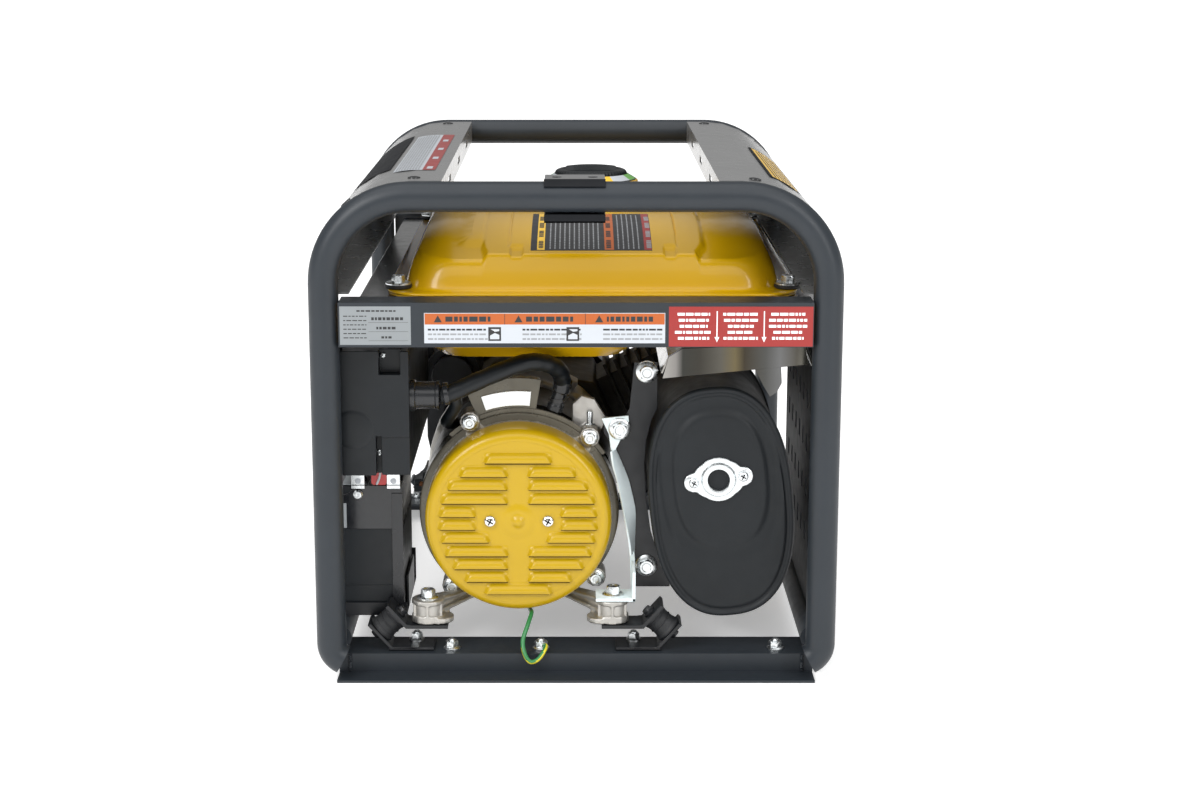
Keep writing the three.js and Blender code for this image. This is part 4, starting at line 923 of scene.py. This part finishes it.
# -------- casting details and leads
def arch_details():
    """Bands on the end bracket's brow, its dark rim, the ribs round its feet and a stud for the lugs."""
    form = Form()
    # the first band is the bright painted reflection on the top of the brow; the other bands and the rim are
    # olive
    for low, high, front, start, end, slot in ((92.5, 106.0, -209.4, 108, 84, 0),
                                               (84.5, 117.2, -208.0, 113.6, 80.4, 1),
                                               (84.0, 91.0, -208.8, 132, 34, 1)):
        outline = arc(AX, AZ, high, start, end, 20) + arc(AX, AZ, low, end, start, 20)
        form.add(prism(outline, "Y", front, -206.0), slot)
    form.add(turned([(84, 0), (86.9, 1), (87.2, 20), (86.2, 21), (84, 21)], (AX, -212.0, AZ), BACK, 96), 1)
    form.build("brow_bands", [brow_reflection, olive], slot="cast_aluminium", bevel=0.8, sharp=30)
    feet, y, low, high = Form(), -247.0, 44, 59
    for x in (31.2, -127.4):
        feet.add(turned([(11, low), (12.4, 47.5), (12.4, 56), (11, high)], (x, y, 0), UP))
        for px, py in arc(x, y, 12.9, 30, 330, 5):
            feet.add(slab(px - 1.3, px + 1.3, py - 1.3, py + 1.3, low, high))
    feet.build("foot_ribs", [cast], slot="cast_aluminium", bevel=0.6, sharp=35)
    stud, x, y = Form(), 12.0, -199.5
    stud.add(turned([(2.6, 0), (2.6, 19), (2.0, 20)], (x, y, 196), UP, 16))
    hex_bolt(stud, (x, y, 199), UP, 8.0, 4.0, 6.2)
    stud.build("lug_stud", [zinc], slot="zinc_plate", sharp=35)


arch_details()


def harness():
    """Taped sleeve from the gland to the boot, the boot with its tie, and the branch that goes down."""
    sleeve = smooth_path([(-114, -246, 240.2), (-106, -246, 241.5), (-81, -241, 252), (-47, -234, 264.5),
                          (-28, -226, 264), (-15, -213, 255), (-11.5, -204, 243)], 12)
    boot = smooth_path([(-11.2, -204, 244), (-13, -202, 234), (-16.5, -200.5, 224), (-19, -200, 217.5)], 8)
    branch = smooth_path([(-104, -244.5, 243.5), (-102, -236, 230), (-108, -224, 217), (-112, -206, 208),
                          (-110, -190, 203), (-107, -178, 201)], 8)
    form = Form().add(tube(sleeve, lambda i: 7.6 + 0.18 * sin(i * 0.9), 28))
    form.add(tube(boot, lambda i: 8.2 if i < 8 else (6.6 if i < 18 else 7.4), 24), 1)
    tie, half_wide = boot[14], Vector((0, 0, 1.6))
    form.add(tube([tie + half_wide, tie - half_wide], 7.5, 24), 2)
    form.add(tube([tie + Vector((5, -5, 0)), tie + Vector((9, -10, 6))], 1.1, 6), 2)
    form.add(tube(branch, 5.4, 18))
    form.build("harness_taped", [plastic, plastic_gloss, cable_tie], stands_for="harness_sleeve",
        slot="hose_rubber", sharp=50)


harness()


def ground_lead():
    """Green wire with a yellow stripe winding round it, and its ring lug."""
    path = smooth_path([(-42, -206, 41.6), (-40, -225, 44), (-38.5, -243, 46.5), (-41.5, -256, 40),
                        (-45.5, -265, 29), (-44, -271.5, 19.5), (-39.3, -274.5, 13.2), (-33, -274, 14.6),
                        (-27.5, -269.5, 20.4), (-26, -262, 23), (-28, -256.5, 21.5)], 8)
    sides = 16
    form = Form().add(tube(path, 1.9, sides))
    for k, f in enumerate(form.faces):
        if len(f) == 4:
            row, col = divmod(k, sides)
            form.slots[k] = int((col + row // 9) % sides < 3)
    lug = [(3.3, 0), (6.2, 0), (6.2, 0.9), (3.3, 0.9), (3.3, 0)]
    form.add(turned(lug, (-30.2, -252.7, 18.3), UP, 28), 2)
    form.build("ground_lead", [wire_green, wire_yellow, zinc], stands_for="ground_wire", slot="wire_green",
        sharp=50)


ground_lead()


# -------- printed labels (blocks only, no lettering)
class Sheet:
    """A flat label: shapes in label millimetres, laid on a plane by its origin and two edge directions."""

    def __init__(self, origin, across, up, lift=0.15, step=0):
        self.origin, self.across, self.up = Vector(origin), Vector(across), Vector(up)
        self.out = self.across.cross(self.up)
        self.form, self.lift, self.step = Form(), lift, step

    def spots(self, points, height):
        return [self.origin + self.across * x + self.up * y + self.out * height for x, y in points]

    def rect(self, x0, x1, y0, y1, slot, layer=0):
        """A thin block; with a step it is cut into rows of that length, so that it can be draped."""
        while self.step and y1 - y0 > self.step * 1.5:
            self.rect(x0, x1, y0, y0 + self.step, slot, layer)
            y0 += self.step
        corners = [(x0, y0), (x1, y0), (x1, y1), (x0, y1)]
        height = self.lift + 0.06 * layer
        self.form.add(loft([self.spots(corners, 0.01), self.spots(corners, height)]), slot)

    def poly(self, points, slot, layer=1):
        face = list(range(len(points)))
        self.form.add((self.spots(points, self.lift + 0.06 * layer), [face]), slot)

    def words(self, x0, x1, y, height, slot, layer=1, gap=0.9, longest=6.0):
        """A greeked line: short bars of uneven length."""
        x = x0
        while x < x1 - 1.0:
            length = min(RNG.uniform(1.6, longest), x1 - x)
            if length > 0.7:
                self.rect(x, x + length, y, y + height, slot, layer)
            x += length + gap


def front_labels():
    """The rating plate, the strip in three panels and the red strip on the front label plate."""
    y = -291.0
    s = Sheet((-193.4, y, 292.0), RIGHT, UP)
    s.rect(0, 58.2, 0, 32, 0)
    s.words(14, 46, 27.6, 1.3, 1, longest=4)
    for row in range(6):
        s.words(3, 22, 23.5 - row * 3.6, 0.8, 1, longest=4)
    for row, (a, b) in enumerate(((26, 52), (30, 47), (34, 43))):
        s.words(a, b, 20.6 - row * 7.6, 2.4 - 0.3 * row, 1, longest=3.2)
        s.rect(23.5, 56, 18.6 - row * 7.6, 18.8 - row * 7.6, 1, 1)
    s.form.build("rating_label", [label_silver, ink_black])
    # orange and white strip in three panels, with two small picture blocks
    s = Sheet((-124.3, y, 293.4), RIGHT, UP)
    s.rect(0, 197.3, 0, 25.2, 0)
    s.rect(0.5, 196.8, 15.6, 24.7, 1, 1)
    for k in range(3):
        x = 66.0 * k
        if k:
            s.rect(x - 0.2, x + 0.2, 15.6, 24.7, 2, 2)
        s.poly([(x + 8.0, 17.4), (x + 14.6, 17.4), (x + 11.3, 23.2)], 2, 2)
        s.words(x + 17.5, x + 56, 18.0, 4.2, 2, 2, gap=1.3, longest=7)
        start, end = (x + 14.5, x + 63) if k else (3, 52)
        for row in range(3):
            s.words(start, end, 10.6 - row * 3.9, 1.5, 3 if row else 2)
    for x in (52.5, 116.5):
        s.rect(x, x + 10.4, 2.0, 13.4, 2, 2)
        s.poly([(x + 1.4, 3.4), (x + 9.0, 3.4), (x + 9.0, 7.0), (x + 5.4, 8.6), (x + 1.4, 6.4)], 0, 3)
        s.poly([(x + 2.0, 11.8), (x + 5.4, 9.6), (x + 9.0, 10.2), (x + 9.0, 11.8)], 0, 3)
    s.form.build("caution_strip", [label_white, label_orange, ink_black, label_grey])
    # red strip in three columns, with an arrow between them
    s = Sheet((76.0, y, 290.6), RIGHT, UP)
    s.rect(0, 118.0, 0, 33.2, 0)
    for k in range(3):
        x = 4.0 + 38.6 * k
        for row in range(5):
            inset = RNG.uniform(0.5, 6.5)
            s.words(x + inset, x + 32.6 - inset, 25.8 - row * 5.0, 2.3, 1, longest=7)
        if k < 2:
            cx = x + 35.4
            s.rect(cx - 0.45, cx + 0.45, 6.0, 29.5, 1, 1)
            s.poly([(cx - 2.0, 8.0), (cx, 3.6), (cx + 2.0, 8.0)], 1, 2)
    s.form.build("red_notice", [label_red, ink_white])


front_labels()


def tank_label():
    """The printed sheet on the tank's middle panel: dark blocks with coloured edge bands."""
    depth = 130.0
    s = Sheet((-38.4, -219.5, 0), RIGHT, BACK, lift=0.3, step=5.0)

    def dashes(x, width, start, stop, longest, gap, slot):
        """A column of dashes of uneven length."""
        y = start
        while y < stop:
            length = RNG.uniform(2.0, longest)
            s.rect(x, x + width, y, min(y + length, depth - 3), slot, 2)
            y += length + gap

    s.rect(0, 102.8, 0, depth, 1)
    for x0, x1, slot in ((0.8, 4.4, 1), (5.4, 11.8, 2), (12.8, 62.0, 1), (62.6, 70.6, 3), (71.2, 95.6, 1),
                         (96.2, 102.4, 4)):
        s.rect(x0, x1, 1, depth - 1, slot, 1)
    for x in [16.0 + k * 4.1 for k in range(11)] + [74.0 + k * 4.3 for k in range(5)]:
        dashes(x, 1.0, 3.0, depth - 8, 7.0, 1.1, 5)
    for x, slot in ((6.6, 1), (64.2, 1), (98.4, 5)):
        for start in (5.0, 34.0, 63.0, 92.0):
            dashes(x, 4.0, start, start + 18, 4.5, 1.0, slot)
    s.form.verts = [Vector((v.x, v.y, tank_top(v.x, v.y)[0] + v.z)) for v in s.form.verts]
    s.form.build("tank_sheet_print", [ink_white, ink_black, label_amber, label_orange, label_red,
        label_grey])


tank_label()


def cover_labels():
    """Prints on the two sheet-metal covers, following their rolled edge, and the plugs in their holes."""
    roll = HOOP["bend"] + HOOP["r"] - 1
    cx, cz = HOOP["side"] - HOOP["bend"], HOOP["top"] - HOOP["bend"]

    def over(s, side, lift):
        """A point s outward from the start of the roll, along the sheet; a negative s is on the flat."""
        a, r = pi / 2 - max(s, 0.0) / roll, roll + lift
        return Vector((side * (cx + min(s, 0.0) + r * cos(a)), 0, cz + r * sin(a)))

    def patch(form, side, s0, s1, y0, y1, lift, slot, cells):
        spots = [over(s0 + (s1 - s0) * k / cells, side, lift) for k in range(cells + 1)]
        verts = [Vector((p.x, y, p.z)) for p in spots for y in (y0, y1)]
        # turned over on the right, so that the print faces out on both covers
        form.add((verts, [[2 * k, 2 * k + 1, 2 * k + 3, 2 * k + 2][::-side] for k in range(cells)]), slot)

    def dashes(form, side, s, width, start, stop, end, shortest, longest, slot):
        """A row of dashes of uneven length."""
        y = start
        while y < stop:
            length = RNG.uniform(shortest, longest)
            patch(form, side, s, s + width, y, min(y + length, end), 0.45, slot, 1)
            y += length + 3

    left = Form()
    patch(left, -1, 26, 66, -150, 150, 0.25, 0, 14)
    # white notice with a red band toward the middle
    patch(left, -1, -16, 20, -190, 120, 0.3, 1, 8)
    patch(left, -1, -16, -5, -190, 120, 0.4, 2, 4)
    for k in range(9):
        dashes(left, -1, -2 + k * 2.4, 1.2, -186.0, 108, 116, 4, 16, 3)
    for k in range(4):
        y = -182.0 + k * 78
        patch(left, -1, -13, -8, y, y + 18, 0.5, 1, 2)
    left.build("left_cover_prints", [guard_black, label_white, label_red, label_grey])
    right = Form()
    patch(right, 1, 30, 62, -190, 60, 0.25, 0, 12)
    patch(right, 1, 33, 59, -184, 54, 0.35, 1, 10)
    for k in range(6):
        dashes(right, 1, 36 + k * 3.6, 1.5, -178.0, 40, 50, 5, 20, 2)
    right.build("right_cover_prints", [guard_black, label_amber, ink_black])
    plugs = Form()
    for side, s, y in ((-1, -2, -246), (-1, -2, 246), (1, -2, 246), (1, 12, -250), (-1, 60, -246),
            (1, 60, 246)):
        p = over(s, side, 0)
        up = (p - Vector((side * cx, 0, cz))).normalized() if s > 0 else UP
        plugs.add(turned([(5.4, 0), (5.2, 0.7), (3.6, 1.1), (2.0, 0.5)], (p.x, y, p.z), up, 26))
    plugs.build("cover_plugs", [plastic_gloss])


cover_labels()


# -------- control box, gland, battery details
def electrics():
    """Screws, gland and face of the electrical box, the battery's cover and terminals, and their leads."""
    form = Form()
    for spot in ((-162.3, -251.0, 275.6), (-166.2, -253.0, 192.0)):
        cross_screw(form, spot, FRONT, 2.6, slot=1, dark=2)
    # gland nut and clamp collar
    form.add(turned([(13.2, 0), (13.2, 4), (11.8, 5), (11.4, 9), (11.4, 21), (12.2, 22), (12.2, 24.4),
        (9, 25)], (-139.9, -246, 240.2), RIGHT, 40), 3)
    form.add(turned([(9.2, 0), (9.8, 1.0), (9.8, 4.0), (9.2, 5.0)], (-112, -246, 240.8), (1, 0, 0.15), 36),
        3)
    # moulded swelling on the face
    form.add(turned([(17, 0), (16, 0.5), (13, 0.9), (2, 1.0)], (-187, -262.0, 214), FRONT, 40))
    form.build("control_box_fittings", [plastic, zinc, painted_hole_shade_and_ink, plastic_gloss], bevel=0.4, sharp=30)
    x0, x1, y0, y1 = -206.0, -150.0, -228.0, -124.0
    form = Form()
    form.add(prism([(x0 + 0.4, 118), (x1 - 0.2, 118), (x1 - 0.2, 155), (x1 - 1, 156.6), (x0 + 16, 156.6),
                    (x0 + 10, 150), (x0 + 0.4, 147)], "Y", y0 - 0.8, y1 + 0.8))
    for z in (67.0, 117.0):
        form.add(slab(x0 - 0.4, x1 + 0.4, y0 - 0.5, y1 + 0.5, z, z + 0.9), 1)
    form.add(slab(x1 - 9, x1 + 0.5, y0 - 2.0, y0 - 0.4, 46, 150), 2)
    form.add(slab(x0 + 1, x0 + 8, y0 - 1.2, y0 - 0.7, 119, 141), 3)
    form.add(slab(x0 + 2, x0 + 26, y0 + 1, y1 - 8, 156.7, 157.3), 3)
    form.build("battery_cover", [smoke, plastic, plastic_gloss, label_silver], bevel=0.4, sharp=30)
    form, y, half = Form(), -229.0, 5.6
    for x in (-187.6, -157.0):
        form.add(prism([(x - half, 154.2), (x + half, 154.2), (x + half, 166), (x + 4.6, 167),
            (x - 4.6, 167), (x - half, 166)], "Y", y - 1.2, y))
        form.add(slab(x - half, x + half, y - 1.2, y + 12, 156.8, 158.0))
        form.add(turned([(2.7, 0), (2.5, 0.4), (1, 0.5)], (x, y - 1.1, 161), FRONT, 20), 1)
    hex_bolt(form, (-187.6, -229.4, 149.0), FRONT, 6.0, 1.6, 4.2)
    form.build("battery_terminals", [zinc, label_white], bevel=0.25, sharp=30)
    # red boot with a thin pale line over it, and the two leads behind
    form = Form()
    form.add(prism(round_rect(-176, -162.6, 157.4, 171.8, 2.4, 4), "Y", -229.4, -205))
    form.add(tube(smooth_path([(-171.5, -229.8, 158), (-169, -230.2, 164), (-167.6, -229.8, 171)], 5), 1.0,
        8), 3)
    for points, slot in (([(-172, -206, 170), (-172, -204, 182), (-166, -196, 196), (-160, -180, 210)], 1),
                         ([(-188, -214, 168), (-192, -208, 180), (-190, -196, 200)], 2)):
        form.add(tube(smooth_path(points, 8), 3.6, 14), slot)
    form.build("battery_leads", [red_vinyl, red_vinyl, plastic_gloss, label_white], sharp=45)
    form = Form().add(tube(smooth_path([(-118, -196, 146), (-128, -198, 149), (-137, -200, 151)], 6), 2.2,
        12))
    form.build("stator_stub_wire", [wire_brown])


electrics()


def panel_details():
    """Outlets, meter, terminal and printed blocks on the side control panel."""
    x, socket_z = -200.6, 212
    sockets = (-150, -95, -40)
    form = Form()
    for y in sockets:
        form.add(turned([(21.5, 0), (21.5, 1.2), (20.5, 2.2), (17.6, 2.2), (16.4, 0.4), (2, 0.4)],
                        (x, y, socket_z), LEFT, 56))
        # the pin slots: thin dark slabs of painted shade
        for dy, half_y, half_z in ((-6.4, 1.0, 4.2), (6.4, 1.3, 5.0)):
            z = socket_z + 2
            form.add(slab(x - 0.8, x - 0.45, y + dy - half_y, y + dy + half_y, z - half_z, z + half_z), 1)
        # the ground pin hole: a dark disc of painted shade
        form.add(turned([(2.6, 0), (2.4, 0.3), (1, 0.3)], (x - 0.5, y, 202.5), LEFT, 20), 1)
        for dz in (-19.2, 19.2):
            cross_screw(form, (x - 2.0, y, socket_z + dz), LEFT, 1.7, slot=2)
    # voltmeter with a plain dial
    form.add(prism(round_rect(-148, -102, 240, 272, 3, 5), "X", x - 3.6, x))
    form.add(prism(round_rect(-145, -105, 243, 269, 2, 5), "X", x - 3.9, x - 3.5), 3)
    for k in range(13):
        a = radians(40 + 100 * k / 12)
        inner, outer = 18.0, 20.2 if k % 3 else 22.0
        tick = [(x - 4.0, -125 + r * cos(a), 243 + r * sin(a)) for r in (inner, (inner + outer) / 2, outer)]
        form.add(tube(tick, 0.3, 6), 1)
    form.add(tube([(x - 4.1, -125 + 3 * k, 245 + 9 * k) for k in range(3)], 0.35, 6), 4)
    # breaker collar, ground terminal, corner screws
    form.add(turned([(11, 0), (11, 2.0), (10, 2.8), (7.4, 2.8), (7.4, 0)], (x, -216, 200), LEFT, 40))
    hex_nut(form, (x, -178, 182), LEFT, 9.0, 4.0, stud_up=5.0, slot=2)
    for y in (-254, 22):
        for z in (172, 282):
            cross_screw(form, (x, y, z), LEFT, 3.4, slot=2)
    form.build("panel_fittings", [plastic_gloss, painted_hole_shade_and_ink, zinc, label_white, label_red], sharp=32,
        slot="black_plastic")
    s = Sheet((x, 24, 170), FRONT, UP)
    for x0, x1, top, rows in ((10, 90, 108, 4), (150, 232, 110, 0), (228, 252, 52, 0)):
        s.words(x0, x1, top - 6, 2.0, 0)
        for row in range(rows):
            s.words(x0, x1, top - 13 - row * 5, 1.4, 0)
    for x0 in (42, 97, 152):
        s.words(x0, x0 + 44, 66, 2.0, 0, longest=8)
        s.words(x0 + 4, x0 + 38, 15, 1.8, 0, longest=8)
    s.rect(6, 94, 72, 73, 1)
    s.form.build("panel_print", [ink_white, label_amber])


def rear_details():
    """Recoil hub, its bolts and the rope, the filter's clips and a rear rating block."""
    form = Form()
    form.add(turned([(22, 0), (22, 0.8), (20.6, 1.4), (17, 1.4), (16, 0.6), (2, 0.9)], (AX, 208, AZ), BACK,
        64))
    for x, z in arc(AX, AZ, 78, 80, 320, 2):
        hex_bolt(form, (x, 175.0, z), BACK, 8.0, 4.0, 6.0, slot=1)
    form.build("recoil_fittings", [plastic_gloss, zinc], sharp=32)
    # the rope runs out of the guide eye and is drawn out with the grip
    hx, hz = AX + 64 * cos(radians(38)), AZ + 64 * sin(radians(38))
    line = [(hx, 188 + k * 0.8, hz) for k in range(31)]
    form = Form().add(tube(line, lambda i: 2.4 + 0.2 * sin(i * 2.4), 12))
    rope = form.build("starter_rope", [rubber], body=None, sharp=60)
    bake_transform(rope)
    low, high = (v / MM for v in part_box("air_cleaner"))
    form = Form()
    for face, out in ((low.x, -1), (high.x, 1)):
        for y in (176.0, 214.0):
            form.add(slab(*sorted((face + out * 0.2, face + out * 1.6)), y - 6, y + 6, 178, 208))
            form.add(tube([(face + out * 2.4, y + k, 186) for k in (-5, 0, 5)], 1.4, 12))
    form.build("filter_clips", [zinc], bevel=0.3, sharp=32)
    s = Sheet((60.0, 291.0, 294.0), LEFT, UP)
    s.rect(0, 120, 0, 29, 0)
    for row in range(5):
        s.words(6, 66, 24 - row * 5, 1.8, 1)
    s.rect(74, 114, 5, 24, 1, 1)
    s.rect(75, 113, 6, 23, 0, 2)
    s.form.build("rear_label", [label_silver, ink_black])


panel_details()
rear_details()


# -------- stage, lights, camera
def stage():
    """A wide pale floor with a faint glow."""
    mesh, half, z = bpy.data.meshes.new("floor"), 30.0, -0.0005
    mesh.from_pydata([(-half, -half, z), (half, -half, z), (half, half, z), (-half, half, z)], [],
        [(0, 1, 2, 3)])
    white = material("floor_white", (0.93, 0.93, 0.93), rough=0.9, spread=0.004, patch=3, grain=60, bump=0.0,
        specular=0.1)
    fill(white, surface(white), Emission_Color=(1, 1, 1, 1), Emission_Strength=0.34)
    mesh.materials.append(white)
    new_object("floor", mesh)


def light(name, kind, energy, spot, target):
    """A light at a spot, pointing at a target, both in metres."""
    data = bpy.data.lights.new(name, kind)
    data.energy = energy
    obj = new_object(name, data)
    obj.location = spot
    obj.rotation_euler = (Vector(target) - Vector(spot)).to_track_quat("-Z", "Y").to_euler()
    return data


stage()
bpy.context.scene.view_settings.view_transform = "Standard"
world = bpy.data.worlds.new("studio")
world.use_nodes = True
sky = world.node_tree.nodes["Background"].inputs
sky["Color"].default_value = (1, 1, 1, 1)
sky["Strength"].default_value = 0.34
bpy.context.scene.world = world
light("overhead", "SUN", 2.4, (0, 0, 0), (0.05, 0.35, -1.0)).angle = radians(90)
for name, spot, size, power in (("left_soft", (-1.5, -1.7, 1.5), (0.9, 1.3), 26),
                                ("right_soft", (1.5, -1.9, 1.2), (0.5, 1.4), 16)):
    soft = light(name, "AREA", power, spot, (0, 0, 0.2))
    soft.shape = "RECTANGLE"
    soft.size, soft.size_y = size

lens = bpy.data.cameras.new("camera")
lens.lens = 65.55
lens.sensor_width = 36.0
lens.shift_x = 0.02
camera = new_object("camera", lens)
camera.location = (0.0, -2.050, 0.6325)
camera.rotation_euler = (radians(90 - 12.4), 0, 0)
bpy.context.scene.camera = camera
